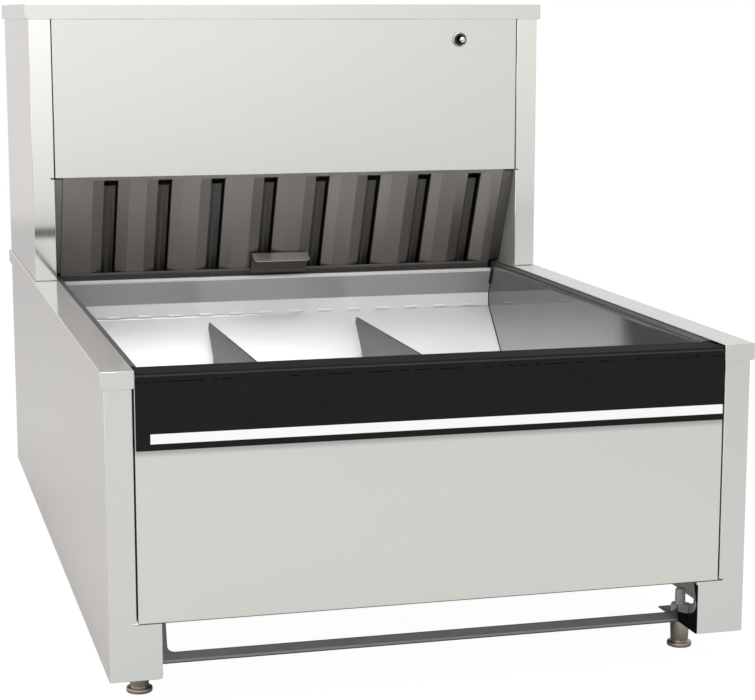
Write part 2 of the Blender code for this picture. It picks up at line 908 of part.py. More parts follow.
def hood_back_panel():
    low = (-back_panel_half, back_face - sheet, hood_foot)
    panel = place("hood_back_panel", block_mesh("hood_back_panel", low, (back_panel_half, back_face, hood_top)), brushed)
    vents = []
    for number in range(vent_count):
        left = vent_first + number * vent_pitch
        foot_corner = (left, back_face - cut_overrun, vent_foot)
        head_corner = (left + vent_width, back_face + cut_overrun, vent_foot + vent_height)
        vents.append((foot_corner, head_corner))
    half_across = inlet_body[0] / 2 + fit
    half_up = inlet_body[1] / 2 + fit
    hole_low = (inlet_across - half_across, back_face - cut_overrun, inlet_height - half_up)
    hole_high = (inlet_across + half_across, back_face + cut_overrun, inlet_height + half_up)
    vents.append((hole_low, hole_high))
    cut(panel, helper("back openings", blocks_mesh("back openings", vents)))


def hood_deck():
    low = (-deck_half, front + deck_setback, deck_height + sheet - deck_flange - sheet)
    high = (deck_half, back_face - sheet - fit, deck_height + sheet)
    deck = tray("hood_deck", low, high, [(0, 0, -1)], galvanised)
    inlet = circle(blower_inlet_radius, (0, front + blower_depth), 28)
    cut(deck, helper("blower inlet", outline_mesh("blower inlet", [inlet], 2 * cut_overrun, "XY", deck_height)))
    inner_wall = scroll_start_radius * cos(scroll_start_angle)
    outlet_low = (inner_wall + outlet_hole_margin, front + outlet_hole_setback, deck_height - cut_overrun)
    outlet_high = (
        scroll_end_radius - outlet_hole_margin,
        front + outlet_end_depth - outlet_hole_margin,
        deck_height + cut_overrun,
    )
    cut(deck, helper("blower outlet", block_mesh("blower outlet", outlet_low, outlet_high)))
    for side in (-1, 1):
        centre = (side * element_rod_spacing * (element_rods - 1) / 2, front + element_depth)
        hole = outline_mesh(f"rod hole {side}", [circle(element_radius + fit, centre, 16)], 2 * cut_overrun, "XY", deck_height)
        cut(deck, helper(f"rod hole {side}", hole))


def duct_baffle():
    path = [
        (front + ledge_setback, ledge_height),
        (front + baffle_setback, ledge_height),
        (front + baffle_setback, deck_height - fit - sheet),
        (front + baffle_setback + baffle_flange, deck_height - fit - sheet),
    ]
    half = deck_half - sheet - fit
    baffle = folded("duct_baffle", path, -half, half, "X", galvanised)
    inner = bin_half - fit
    corners = []
    for side in (-1, 1):
        across = sorted((side * inner, side * (half + cut_overrun)))
        low = (across[0], front + ledge_setback - cut_overrun, ledge_height - cut_overrun)
        high = (across[1], front + baffle_setback + cut_overrun, hood_foot)
        corners.append((low, high))
    cut(baffle, helper("baffle corners", blocks_mesh("baffle corners", corners)))


# Filter: drawn upright behind y 0, then leant forward over its foot with its ends kept level
filter_place = Matrix.Translation((0, front + filter_foot_depth, filter_foot_height)) @ Matrix(
    ((1, 0, 0, 0), (0, 1, -tan(filter_lean), 0), (0, 0, 1, 0), (0, 0, 0, 1))
)

# The handle is square to the filter's face, so it is turned instead
filter_seat = bpy.data.objects.new("filter_seat", None)
filter_seat.location = (0, front + filter_foot_depth, filter_foot_height)
filter_seat.rotation_euler = (filter_lean, 0, 0)
parts.objects.link(filter_seat)


def slit_edges():
    """Left and right edges of the gaps between front baffles."""
    return [
        (first_slit + number * slit_pitch - slit_width / 2, first_slit + number * slit_pitch + slit_width / 2)
        for number in range(slit_count)
    ]


def lean(piece):
    piece.data.transform(filter_place)
    return piece


def half_frame(name, near, far, open_side, material):
    """One half of the filter's frame: a channel round four sides, closed towards its own face."""
    low = (filter_left, near, 0)
    piece = lean(place(name, block_mesh(name, low, (filter_right, far, filter_height)), material))
    pocket_near = near + filter_skin if open_side > 0 else near - cut_overrun
    pocket_far = far + cut_overrun if open_side > 0 else far - filter_skin
    pocket = block_mesh(
        f"{name} pocket",
        (filter_left + filter_skin, pocket_near, filter_skin),
        (filter_right - filter_skin, pocket_far, filter_height - filter_skin),
    )
    window = block_mesh(
        f"{name} window",
        (filter_left + filter_side_rail, near - cut_overrun, filter_bottom_rail),
        (filter_right - filter_side_rail, far + cut_overrun, filter_height - filter_top_rail),
    )
    cut(piece, lean(helper(f"{name} pocket", pocket)))
    cut(piece, lean(helper(f"{name} window", window)))
    return piece


def baffle_strip(name, left, right, facing, plain_side=0):
    """One bent baffle: a flat middle, sloping sides and turned-back edges. Facing 1 opens
    rearward. A plain side (-1 left, 1 right) runs flat into the frame."""
    face = filter_skin / 2 if facing > 0 else filter_thickness - filter_skin / 2
    step_back = face + facing * baffle_rise
    edge = step_back + facing * baffle_return
    points = []
    if plain_side < 0:
        points.append((left, face))
    else:
        points += [(left, edge), (left, step_back), (left + baffle_slope_run, face)]
    if plain_side > 0:
        points.append((right, face))
    else:
        points += [(right - baffle_slope_run, face), (right, step_back), (right, edge)]
    if facing < 0:
        points.reverse()
    mesh = folded_mesh(name, points, filter_skin / 2, filter_height - filter_skin / 2, "Z")
    strip = lean(helper(name, mesh))
    thicken(strip, filter_skin)
    return strip


def filter_front():
    shell = half_frame("filter_front_baffles", 0, filter_half_depth, 1, filter_steel)
    inner_edges = [edge for pair in slit_edges() for edge in pair]
    edges = [filter_left + filter_skin / 2, *inner_edges, filter_right - filter_skin / 2]
    for number, (left, right) in enumerate(zip(edges[::2], edges[1::2])):
        plain_side = {0: -1, slit_count: 1}.get(number, 0)
        join(shell, baffle_strip(f"front baffle {number}", left, right, 1, plain_side))


def filter_back():
    shell = half_frame("filter_rear_baffles", filter_thickness - filter_half_depth, filter_thickness, -1, filter_steel)
    windows = []
    for number, (left, right) in enumerate(slit_edges()):
        strip = baffle_strip(
            f"rear baffle {number}", left - rear_baffle_overlap, right + rear_baffle_overlap, -1
        )
        join(shell, strip)
        window_head = filter_height - filter_top_rail
        windows.append(
            (
                (left, filter_thickness - baffle_rise - baffle_return - cut_overrun, window_head - rear_window_height),
                (right, filter_thickness + cut_overrun, window_head),
            )
        )
    cut(shell, lean(helper("rear windows", blocks_mesh("rear windows", windows))))


def filter_guide(name, side):
    """An angle that closes the gap beside the filter: level with its face, then back along the hood wall."""
    inner = fit + (filter_right if side > 0 else -filter_left)
    path = [(inner, 0), (deck_half, 0), (deck_half, guide_depth)]
    foot_level = hood_foot + fit - filter_foot_height
    lean(folded(name, mirrored(path, side), foot_level, filter_height - sheet, "Z", galvanised))


def filter_handle():
    """A right-angle tab: a strap against the frame and a lip square to it."""
    strap_face = -fit - sheet
    left = handle_centre - handle_width / 2
    right = handle_centre + handle_width / 2
    top = handle_foot + handle_height
    strap = place(
        "filter_handle", block_mesh("filter_handle", (left, strap_face, handle_foot), (right, -fit, top)), filter_steel
    )
    lip_front = strap_face - handle_reach
    arc_steps = 4
    outline = [(left, strap_face + sheet / 2)]
    for corner_x, first in ((left + handle_corner, pi), (right - handle_corner, 1.5 * pi)):
        for step in range(arc_steps + 1):
            angle = first + 0.5 * pi * step / arc_steps
            outline.append((corner_x + handle_corner * cos(angle), lip_front + handle_corner + handle_corner * sin(angle)))
    outline.append((right, strap_face + sheet / 2))
    lip = helper("handle lip", outline_mesh("handle lip", [outline], sheet, "XY", top - sheet / 2))
    lip.parent = filter_seat
    join(strap, lip)
    strap.parent = filter_seat


# Blower: scroll housing, wheel and motor on the deck
deck_top = deck_height + sheet
housing_top = deck_top + fit + scroll_height
motor_foot = housing_top + fit
wheel_foot = deck_top + wheel_lift


def blower_housing():
    centre = front + blower_depth
    spiral = []
    for step in range(scroll_steps + 1):
        share = step / scroll_steps
        angle = scroll_start_angle + (2 * pi - scroll_start_angle) * share
        radius = scroll_start_radius + (scroll_end_radius - scroll_start_radius) * share
        spiral.append((radius * cos(angle), centre + radius * sin(angle)))
    outline = spiral + [
        (scroll_end_radius, front + outlet_end_depth),
        (scroll_start_radius * cos(scroll_start_angle), front + outlet_end_depth),
    ]
    work = bmesh.new()
    low = [work.verts.new((x, y, deck_top + fit)) for x, y in outline]
    high = [work.verts.new((x, y, housing_top)) for x, y in outline]
    work.faces.new(high)
    for index in range(len(outline)):
        following = (index + 1) % len(outline)
        work.faces.new((low[index], low[following], high[following], high[index]))
    mesh = bpy.data.meshes.new("blower_housing")
    work.to_mesh(mesh)
    work.free()
    housing = place("blower_housing", mesh, galvanised)
    thicken(housing, sheet)
    hole = circle(shaft_radius + shaft_clearance, (0, centre), 16)
    cut(housing, helper("shaft hole", outline_mesh("shaft hole", [hole], 2 * cut_overrun, "XY", housing_top)))


def blower_wheel():
    """A back plate and shaft above, a ring below and forward-curved blades between."""
    plate_top = wheel_height
    profile = [
        (0, motor_foot + shaft_end - wheel_foot),
        (shaft_radius, motor_foot + shaft_end - wheel_foot),
        (shaft_radius, plate_top + wheel_plate),
        (wheel_hub_radius, plate_top + wheel_plate),
        (wheel_hub_radius, plate_top),
        (wheel_radius, plate_top),
        (wheel_radius, plate_top - wheel_plate),
        (wheel_hub_radius, plate_top - wheel_plate),
        (wheel_hub_radius, plate_top - wheel_hub_radius),
        (0, plate_top - wheel_hub_radius),
    ]
    wheel = turned("blower_wheel", profile, 24, galvanised)
    ring_profile = [
        (wheel_radius, wheel_plate),
        (wheel_radius, 0),
        (wheel_radius - wheel_ring_width, 0),
        (wheel_radius - wheel_ring_width, wheel_plate),
    ]
    ring = to_helper(turned("wheel ring", ring_profile, 24, galvanised))
    blades = bmesh.new()
    middle_radius = wheel_radius - wheel_ring_width / 2 - wheel_plate / 2
    for number in range(blade_count):
        made = bmesh.ops.create_cube(blades, size=1.0)
        size = Matrix.Diagonal((blade_chord * cos(blade_angle), blade_thickness, plate_top - wheel_plate, 1.0))
        middle = Vector((middle_radius, 0, plate_top / 2))
        turn = Matrix.Rotation(2 * pi * number / blade_count, 4, "Z")
        matrix = turn @ Matrix.Translation(middle) @ Matrix.Rotation(blade_angle, 4, "Z") @ size
        bmesh.ops.transform(blades, matrix=matrix, verts=made["verts"])
    blade_set = helper("wheel blades", mesh_of(blades, "wheel blades"))
    for piece in (wheel, ring, blade_set):
        piece.location = (0, front + blower_depth, wheel_foot)
    join(wheel, blade_set)
    join(wheel, ring)


def blower_motor():
    bore = shaft_radius + shaft_clearance
    bore_top = shaft_end + fit
    profile = [
        (0, motor_height + motor_boss_height),
        (motor_boss_radius, motor_height + motor_boss_height),
        (motor_boss_radius, motor_height),
        (motor_radius - motor_edge, motor_height),
        (motor_radius, motor_height - motor_edge),
        (motor_radius, motor_edge),
        (motor_radius - motor_edge, 0),
        (bore, 0),
        (bore, bore_top),
        (0, bore_top),
    ]
    motor = turned("blower_motor", profile, 28, motor_paint)
    motor.location = (0, front + blower_depth, motor_foot)


# Heating element: one sheathed rod bent up and down across the warm-air duct
def heating_element():
    turn_radius = element_rod_spacing / 2
    left = -element_rod_spacing * (element_rods - 1) / 2
    y = front + element_depth
    points = [(left, y, element_end)]
    for number in range(element_rods - 1):
        goes_down = number % 2 == 0
        centre_x = left + element_rod_spacing * (number + 0.5)
        centre_z = element_foot + turn_radius if goes_down else element_head - turn_radius
        for step in range(element_turn_steps + 1):
            angle = pi * step / element_turn_steps
            lift = -sin(angle) if goes_down else sin(angle)
            points.append((centre_x - turn_radius * cos(angle), y, centre_z + turn_radius * lift))
    points.append((-left, y, element_end))
    curve = bpy.data.curves.new("heating_element", "CURVE")
    curve.dimensions = "3D"
    curve.bevel_depth = element_radius
    curve.bevel_resolution = 1
    curve.use_fill_caps = True
    spline = curve.splines.new("POLY")
    spline.points.add(len(points) - 1)
    for spot, point in zip(spline.points, points):
        spot.co = (*point, 1)
    curve.materials.append(element_sheath)
    parts.objects.link(bpy.data.objects.new("heating_element", curve))


# Controls on the deck
def on_deck(name, size, spot, material):
    low = (spot[0] - size[0] / 2, front + spot[1] - size[1] / 2, deck_top + fit)
    high = (spot[0] + size[0] / 2, front + spot[1] + size[1] / 2, deck_top + fit + size[2])
    piece = place(name, block_mesh(name, low, high), material)
    soften = piece.modifiers.new("edges", "BEVEL")
    soften.width = edge_round
    soften.segments = 1
    return piece


def terminal_block():
    piece = on_deck("terminal_block", block_size, block_place, black_plastic)
    pitch = (block_size[0] - block_wall) / block_ways
    top = deck_top + fit + block_size[2]
    wells = []
    for number in range(block_ways):
        left = block_place[0] - block_size[0] / 2 + block_wall + number * pitch
        low = (left, front + block_place[1] - block_size[1] / 2 + 2 * block_wall, top - block_well_depth)
        high = (left + pitch - block_wall, front + block_place[1] + block_size[1] / 2 - 2 * block_wall, top + cut_overrun)
        wells.append((low, high))
    cut(piece, helper("terminal wells", blocks_mesh("terminal wells", wells)))


# Toggle switch: its axis runs along Y, out through the service panel
def along_y(piece, y):
    """Turns a piece drawn along Z to stand out of the service panel, towards the front."""
    piece.rotation_euler = (pi / 2, 0, 0)
    piece.location = (switch_across, y, switch_height)


def switch_body():
    """A box behind the panel with a round neck through it, bored for the lever."""
    inner = hood_front + sheet + fit
    size = switch_body_size
    low = (switch_across - size[0] / 2, inner, switch_height - size[2] / 2)
    high = (switch_across + size[0] / 2, inner + size[1], switch_height + size[2] / 2)
    body = place("switch_body", block_mesh("switch_body", low, high), black_plastic)
    neck_foot = -2 * sheet - fit
    neck = [(0, neck_reach), (neck_radius, neck_reach), (neck_radius, neck_foot), (0, neck_foot)]
    neck_tool = to_helper(turned("switch neck", neck, 24, black_plastic))
    along_y(neck_tool, hood_front)
    join(body, neck_tool)
    bore_top = neck_reach + cut_overrun
    bore_foot = neck_reach - neck_bore_depth
    bore = [(0, bore_top), (neck_bore_radius, bore_top), (neck_bore_radius, bore_foot), (0, bore_foot)]
    bore_tool = to_helper(turned("switch bore", bore, 24, black_plastic))
    along_y(bore_tool, hood_front)
    cut(body, bore_tool)


def switch_ring():
    bore = neck_radius + fit
    profile = [
        (bore, ring_height),
        (ring_radius - ring_bevel, ring_height),
        (ring_radius, ring_height - ring_bevel),
        (ring_radius, 0),
        (bore, 0),
    ]
    ring = turned("switch_ring", profile, 28, chrome)
    along_y(ring, hood_front - fit)


def toggle_lever():
    """Its origin is on the pivot, inside the neck."""
    tip = lever_pivot_inset + lever_reach
    ball_steps = 4
    profile = [(0, tip)]
    for step in range(1, ball_steps + 1):
        angle = 0.5 * pi * (1 - step / ball_steps)
        profile.append((lever_tip_radius * cos(angle), tip - lever_tip_radius + lever_tip_radius * sin(angle)))
    profile.append((lever_root_radius, lever_ball_radius))
    for step in range(ball_steps):
        angle = 0.25 * pi - 0.75 * pi * step / ball_steps
        profile.append((lever_ball_radius * cos(angle), lever_ball_radius * sin(angle)))
    profile.append((0, -lever_ball_radius))
    lever = turned("toggle_lever", profile, 16, chrome)
    along_y(lever, hood_front + lever_pivot_inset)


# Power inlet in the back of the hood; the flex itself plugs in
def power_inlet():
    outer = back_face + fit + inlet_flange_thickness
    half_flange = (inlet_flange[0] / 2, inlet_flange[1] / 2)
    flange = place(
        "power_inlet",
        block_mesh(
            "power_inlet",
            (inlet_across - half_flange[0], back_face + fit, inlet_height - half_flange[1]),
            (inlet_across + half_flange[0], outer, inlet_height + half_flange[1]),
        ),
        black_plastic,
    )
    half_body = (inlet_body[0] / 2, inlet_body[1] / 2)
    body = block_mesh(
        "inlet body",
        (inlet_across - half_body[0], outer - inlet_body_depth, inlet_height - half_body[1]),
        (inlet_across + half_body[0], outer - inlet_flange_thickness / 2, inlet_height + half_body[1]),
    )
    join(flange, helper("inlet body", body))
    half_recess = (inlet_recess[0] / 2, inlet_recess[1] / 2)
    recess = block_mesh(
        "inlet recess",
        (inlet_across - half_recess[0], outer - inlet_recess_depth, inlet_height - half_recess[1]),
        (inlet_across + half_recess[0], outer + cut_overrun, inlet_height + half_recess[1]),
    )
    cut(flange, helper("inlet recess", recess))
    pins = []
    recess_back = outer - inlet_recess_depth
    for offset in (-1, 0, 1):
        x = inlet_across + offset * inlet_pin_spread
        z = inlet_height + (inlet_pin[1] / 2 if offset == 0 else -inlet_pin[1] / 4)
        low = (x - inlet_pin[0] / 2, recess_back - sheet, z - inlet_pin[1] / 2)
        high = (x + inlet_pin[0] / 2, recess_back + inlet_pin_length, z + inlet_pin[1] / 2)
        pins.append((low, high))
    join(flange, helper("inlet pins", blocks_mesh("inlet pins", pins)))


# Assembly
for side, word in ((-1, "left"), (1, "right")):
    side_panel(f"side_panel_{word}", side)
    rail_cap(f"rail_cap_{word}", side)
    liner(f"liner_{word}", side)
    pan_support(f"pan_support_{word}", side)
    divider(f"divider_{word}", side)
    insulation(f"insulation_{word}", side)
    hood_side(f"hood_side_{word}", side)
    filter_guide(f"filter_guide_{word}", side)
    for end, place_word in ((-1, "front"), (1, "rear")):
        spot = (side * (half_width - foot_inset_side), end * (rear - foot_inset_end))
        foot(f"foot_{place_word}_{word}", *spot)
        foot_nut(f"foot_nut_{place_word}_{word}", *spot)
        foot_bracket(f"foot_bracket_{place_word}_{word}", side, end)

cross_rail("front_cross_rail", -1)
cross_rail("rear_cross_rail", 1)
front_panel()
front_trim()
base_floor()
base_back_panel()
product_pan()
hood_cap()
service_panel()
hood_back_panel()
hood_deck()
duct_baffle()
filter_front()
filter_back()
filter_handle()
blower_housing()
blower_wheel()
blower_motor()
heating_element()
on_deck("thermostat", thermostat_size, thermostat_place, motor_paint)
terminal_block()
switch_body()
switch_ring()
toggle_lever()
power_inlet()

for piece in parts.objects:
    if piece.type == "MESH" and piece.name.startswith(("foot_", "blower_", "switch_", "toggle_")):
        piece.data.shade_smooth()
        piece.data.set_sharp_from_angle(angle=radians(35))
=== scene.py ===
import json
from math import cos, pi, radians, sin

import bmesh
import bpy
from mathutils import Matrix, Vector


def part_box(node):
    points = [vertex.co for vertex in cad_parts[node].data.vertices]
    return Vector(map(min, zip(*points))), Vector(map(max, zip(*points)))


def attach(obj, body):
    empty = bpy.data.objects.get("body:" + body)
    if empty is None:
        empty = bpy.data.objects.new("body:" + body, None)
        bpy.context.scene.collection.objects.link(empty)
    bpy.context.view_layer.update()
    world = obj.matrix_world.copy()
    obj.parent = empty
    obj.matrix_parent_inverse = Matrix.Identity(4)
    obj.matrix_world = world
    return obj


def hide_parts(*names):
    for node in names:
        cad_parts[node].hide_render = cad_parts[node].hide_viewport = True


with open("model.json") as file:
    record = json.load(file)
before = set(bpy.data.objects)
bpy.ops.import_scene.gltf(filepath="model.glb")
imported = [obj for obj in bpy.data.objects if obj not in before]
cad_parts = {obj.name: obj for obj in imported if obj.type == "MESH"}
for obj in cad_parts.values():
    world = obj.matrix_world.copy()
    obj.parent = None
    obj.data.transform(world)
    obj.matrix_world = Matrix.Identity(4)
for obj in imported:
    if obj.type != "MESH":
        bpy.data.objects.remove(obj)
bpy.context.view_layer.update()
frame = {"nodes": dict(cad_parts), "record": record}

# The room: a white counter that runs out of sight. The camera stands to the left of the
# warmer's middle, a little above its hood, and a wide soft lamp hangs behind it.
floor_half = 3.0
floor_work = bmesh.new()
bmesh.ops.create_grid(floor_work, x_segments=1, y_segments=1, size=floor_half)
floor_mesh = bpy.data.meshes.new("floor")
floor_work.to_mesh(floor_mesh)
floor_work.free()
floor = bpy.data.objects.new("floor", floor_mesh)
bpy.context.scene.collection.objects.link(floor)

camera_data = bpy.data.cameras.new("camera")
camera_data.lens = 94.79
camera_data.sensor_width = 36.0
camera_data.shift_x = 0.0089
camera_data.shift_y = 0.0106
camera = bpy.data.objects.new("camera", camera_data)
camera.location = (-0.3864, -1.6374, 0.4647)
camera.rotation_euler = (radians(80.252), 0.0, radians(-14.776))
bpy.context.scene.collection.objects.link(camera)
bpy.context.scene.camera = camera
bpy.context.scene.view_settings.view_transform = "Standard"


def soft_lamp(name, place, target, size, watts):
    data = bpy.data.lights.new(name, "AREA")
    data.shape = "SQUARE"
    data.size = size
    data.energy = watts
    lamp = bpy.data.objects.new(name, data)
    lamp.location = place
    lamp.rotation_euler = (Vector(target) - Vector(place)).to_track_quat("-Z", "Y").to_euler()
    bpy.context.scene.collection.objects.link(lamp)


soft_lamp("key_lamp", (-1.3, -2.9, 1.9), (0.0, 0.0, 0.3), 1.6, 12.0)
soft_lamp("top_lamp", (-0.3, -0.5, 2.6), (0.0, 0.0, 0.2), 1.4, 30.0)


# A socket of a node tree. Sums of patterns add their own nodes, so that a finish reads
# as arithmetic.
class Pattern:
    def __init__(self, tree, socket):
        self.tree = tree
        self.socket = socket

    def node(self, kind, settings=None, inputs=None, out=0):
        made = self.tree.nodes.new(kind)
        for name, value in (settings or {}).items():
            setattr(made, name, value)
        for key, value in (inputs or {}).items():
            if isinstance(value, Pattern):
                self.tree.links.new(value.socket, made.inputs[key])
            else:
                made.inputs[key].default_value = value
        return Pattern(self.tree, made.outputs[out])

    def math(self, operation, first, second=0.0):
        return self.node("ShaderNodeMath", {"operation": operation}, {0: first, 1: second})

    def along(self, axis):
        """One coordinate of a place or a direction."""
        return self.node("ShaderNodeSeparateXYZ", None, {0: self}, axis)

    def __add__(self, other):
        return self.math("ADD", self, other)

    def __radd__(self, other):
        return self.math("ADD", other, self)

    def __sub__(self, other):
        return self.math("SUBTRACT", self, other)

    def __rsub__(self, other):
        return self.math("SUBTRACT", other, self)

    def __mul__(self, other):
        return self.math("MULTIPLY", self, other)

    def __rmul__(self, other):
        return self.math("MULTIPLY", other, self)

    def __gt__(self, other):
        return self.math("GREATER_THAN", self, other)

    def __lt__(self, other):
        return self.math("LESS_THAN", self, other)

    def mix(self, dark, light):
        """A colour between two, by this pattern."""
        made = self.tree.nodes.new("ShaderNodeMix")
        made.data_type = "RGBA"
        first_colour, second_colour, mixed_colour = 6, 7, 2
        self.tree.links.new(self.socket, made.inputs[0])
        for slot_number, colour in ((first_colour, dark), (second_colour, light)):
            if isinstance(colour, Pattern):
                self.tree.links.new(colour.socket, made.inputs[slot_number])
            else:
                made.inputs[slot_number].default_value = (*colour, 1.0)
        return Pattern(self.tree, made.outputs[mixed_colour])

    def feed(self, shader, name):
        self.tree.links.new(self.socket, shader.inputs[name])


def between(pattern, low, high):
    """A pattern stretched so that low becomes 0 and high becomes 1, and held there."""
    limits = {0: pattern, 1: low, 2: high, 3: 0.0, 4: 1.0}
    return pattern.node("ShaderNodeMapRange", {"interpolation_type": "SMOOTHSTEP"}, limits)


# The world is white to the camera. The sheet metal sees it brighter towards the left and
# above, and dimmer to the right and low down.
world = bpy.data.worlds.new("studio")
bpy.context.scene.world = world
world.use_nodes = True
background = world.node_tree.nodes["Background"]
sky = Pattern(world.node_tree, background.outputs[0])
direction = sky.node("ShaderNodeTexCoord", out="Generated")
east = direction.along("X")
north = direction.along("Y")
up = direction.along("Z")
seen = sky.node("ShaderNodeLightPath", out="Is Camera Ray")
window = between(up, -0.14, 0.03) * (1.0 - between(up, 0.07, 0.15)) * (1.0 - between(east, 0.0, 0.6))
facing_front = 1.0 - between(north, -0.6, 0.0)
studio_level = 0.80 - 0.20 * east + 0.14 * up + 0.02 * north + 0.50 * window * facing_front
(seen + (1.0 - seen) * studio_level).feed(background, "Strength")
background.inputs["Color"].default_value = (1.0, 1.0, 1.0, 1.0)

# The counter's own paint: white where the camera looks at it, with a trace of shadow.
floor_paint = bpy.data.materials.new("floor_paint")
floor_paint.use_nodes = True
floor_shader = floor_paint.node_tree.nodes["Principled BSDF"]
floor_shader.inputs["Base Color"].default_value = (0.60, 0.60, 0.60, 1.0)
floor_shader.inputs["Roughness"].default_value = 0.9
floor_shader.inputs["Specular IOR Level"].default_value = 0.1
floor_start = Pattern(floor_paint.node_tree, floor_shader.outputs[0])
floor_glow = floor_start.node("ShaderNodeEmission", None, {"Color": (1.0, 1.0, 1.0, 1.0), "Strength": 1.06})
floor_seen = floor_start.node("ShaderNodeLightPath", out="Is Camera Ray") * 0.92
floor_mix = floor_start.node("ShaderNodeMixShader", None, {0: floor_seen, 1: floor_start, 2: floor_glow})
floor_end = floor_paint.node_tree.nodes["Material Output"]
floor_paint.node_tree.links.new(floor_mix.socket, floor_end.inputs["Surface"])
floor_mesh.materials.append(floor_paint)


# Every finish starts from a plain shader and the place of a point on the warmer in metres.
def finish(name, colour, metallic, roughness):
    made = bpy.data.materials.new(name)
    made.use_nodes = True
    shader = made.node_tree.nodes["Principled BSDF"]
    shader.inputs["Base Color"].default_value = (*colour, 1.0)
    shader.inputs["Metallic"].default_value = metallic
    shader.inputs["Roughness"].default_value = roughness
    here = Pattern(made.node_tree, shader.outputs[0]).node("ShaderNodeTexCoord", out="Object")
    return made, shader, here


def noise(here, scale, detail=3.0, distortion=0.0):
    """A cloudy pattern from 0 to 1, with its number of clouds per metre along each axis."""
    stretched = here.node("ShaderNodeMapping", None, {"Vector": here, "Scale": scale})
    clouds = {"Vector": stretched, "Scale": 1.0, "Detail": detail, "Distortion": distortion}
    return here.node("ShaderNodeTexNoise", None, clouds)


def raise_by(shader, height, metres):
    """Bumps of that height in metres where the pattern is 1."""
    bump = height.node("ShaderNodeBump", None, {"Height": height, "Distance": metres, "Strength": 1.0})
    bump.feed(shader, "Normal")


# Casing: folded stainless sheet, brushed with a belt that leaves a fine grain along one
# axis. The rolled sheet is never quite flat or evenly bright.
def brushed_steel(name, colour, grain_scale, roughness=0.22):
    made, shader, here = finish(name, colour, 1.0, roughness)
    grain = noise(here, grain_scale, 4.0)
    cloud = noise(here, (3.5, 3.5, 3.5), 2.0)
    streak = noise(here, tuple(0.12 * number for number in grain_scale), 2.0)
    darker = tuple(0.96 * channel for channel in colour)
    lighter = tuple(min(1.0, 1.03 * channel) for channel in colour)
    (0.5 * cloud + 0.25 * grain + 0.25 * streak).mix(darker, lighter).feed(shader, "Base Color")
    (roughness - 0.05 + 0.05 * grain + 0.06 * cloud).feed(shader, "Roughness")
    raise_by(shader, 0.35 * grain + 0.65 * streak, 0.000002)
    return made


steel_along_x = brushed_steel("steel_along_x", (0.79, 0.80, 0.752), (5.0, 900.0, 900.0))
steel_along_z = brushed_steel("steel_along_z", (0.84, 0.85, 0.80), (900.0, 900.0, 5.0), 0.075)
# The grain-along-Y copy, on the side faces, is painted darker and warmer than the front's, as painted shade.
steel_along_y_shaded = brushed_steel("steel_along_y_shaded", (0.68, 0.64, 0.61), (900.0, 5.0, 900.0))
steel_post = brushed_steel("steel_post", (0.76, 0.77, 0.73), (900.0, 900.0, 5.0), 0.28)


# Rail caps: the top is polished, so it mirrors the hood's post. The lip in front keeps the
# grain of the posts, and the lip outside that of the side panels.
steel_rail, rail_shader, rail_here = finish("steel_rail", (0.80, 0.78, 0.75), 0.25, 0.13)
rail_cloud = noise(rail_here, (30.0, 6.0, 30.0), 3.0)
rail_rub = noise(rail_here, (120.0, 500.0, 120.0), 2.0)
rail_tone = 0.7 * rail_cloud + 0.3 * rail_rub
rail_tone.mix((0.50, 0.485, 0.465), (0.57, 0.555, 0.535)).feed(rail_shader, "Base Color")
(0.07 + 0.06 * rail_cloud).feed(rail_shader, "Roughness")
raise_by(rail_shader, rail_rub, 0.000002)


def add_piece(name, work, materials):
    """The worked mesh as an object of the scene, at the origin."""
    mesh = bpy.data.meshes.new(name)
    work.to_mesh(mesh)
    work.free()
    for material in materials:
        mesh.materials.append(material)
    piece = bpy.data.objects.new(name, mesh)
    bpy.context.scene.collection.objects.link(piece)
    return piece


# A sheet piece keeps the solid's shape, and gets the small round that a fold or a
# deburred edge has. Only its narrow faces are shaded round, so the panels stay flat.
# A face that looks mainly along a listed direction takes that direction's own finish.
def rounded_copy(node, edge_round, material, segments=2, sharp_from=38.0, facing=()):
    smooth_below = radians(50)
    narrow_face = 0.004
    mainly_along = 0.6
    work = bmesh.new()
    work.from_mesh(frame["nodes"][node].data)
    bmesh.ops.remove_doubles(work, verts=work.verts, dist=0.00001)
    bmesh.ops.dissolve_limit(work, angle_limit=radians(1), verts=work.verts, edges=work.edges)
    sharp = [edge for edge in work.edges if edge.is_manifold and edge.calc_face_angle() > radians(sharp_from)]
    bmesh.ops.bevel(
        work, geom=sharp, offset=edge_round, offset_type="OFFSET", segments=segments, profile=0.5,
        affect="EDGES", clamp_overlap=True, material=-1,
    )
    for edge in work.edges:
        edge.smooth = edge.is_manifold and edge.calc_face_angle() < smooth_below
    for face in work.faces:
        longest = max(edge.calc_length() for edge in face.edges)
        face.smooth = face.calc_area() / longest < narrow_face
        face.material_index = 0
        for place, (direction, other) in enumerate(facing):
            if face.normal.dot(Vector(direction)) > mainly_along:
                face.material_index = place + 1
    piece = add_piece(f"{node}_sheet", work, [material, *(other for direction, other in facing)])
    piece.data.attributes.remove(piece.data.attributes["custom_normal"])
    bodies = frame["record"]["behaviour"]["bodies"]
    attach(piece, next(body for body, nodes in bodies.items() if node in nodes))
    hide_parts(node)
    return piece


def reopened(material):
    """The shader of a finish that is already made, its colour, and the place of a point."""
    shader = material.node_tree.nodes["Principled BSDF"]
    colour = Pattern(material.node_tree, shader.inputs["Base Color"].links[0].from_socket)
    return shader, colour, colour.node("ShaderNodeTexCoord", out="Object")


fold_round = 0.00045
cut_round = 0.0003
thin_round = 0.0002
to_front, to_rear = (0, -1, 0), (0, 1, 0)
to_left, to_right = (-1, 0, 0), (1, 0, 0)
to_above = (0, 0, 1)
# A dark steel: painted shade along the side panels' top edges.
top_edge_shade = brushed_steel("top_edge_shade", (0.16, 0.16, 0.155), (300.0, 300.0, 300.0), 0.5)
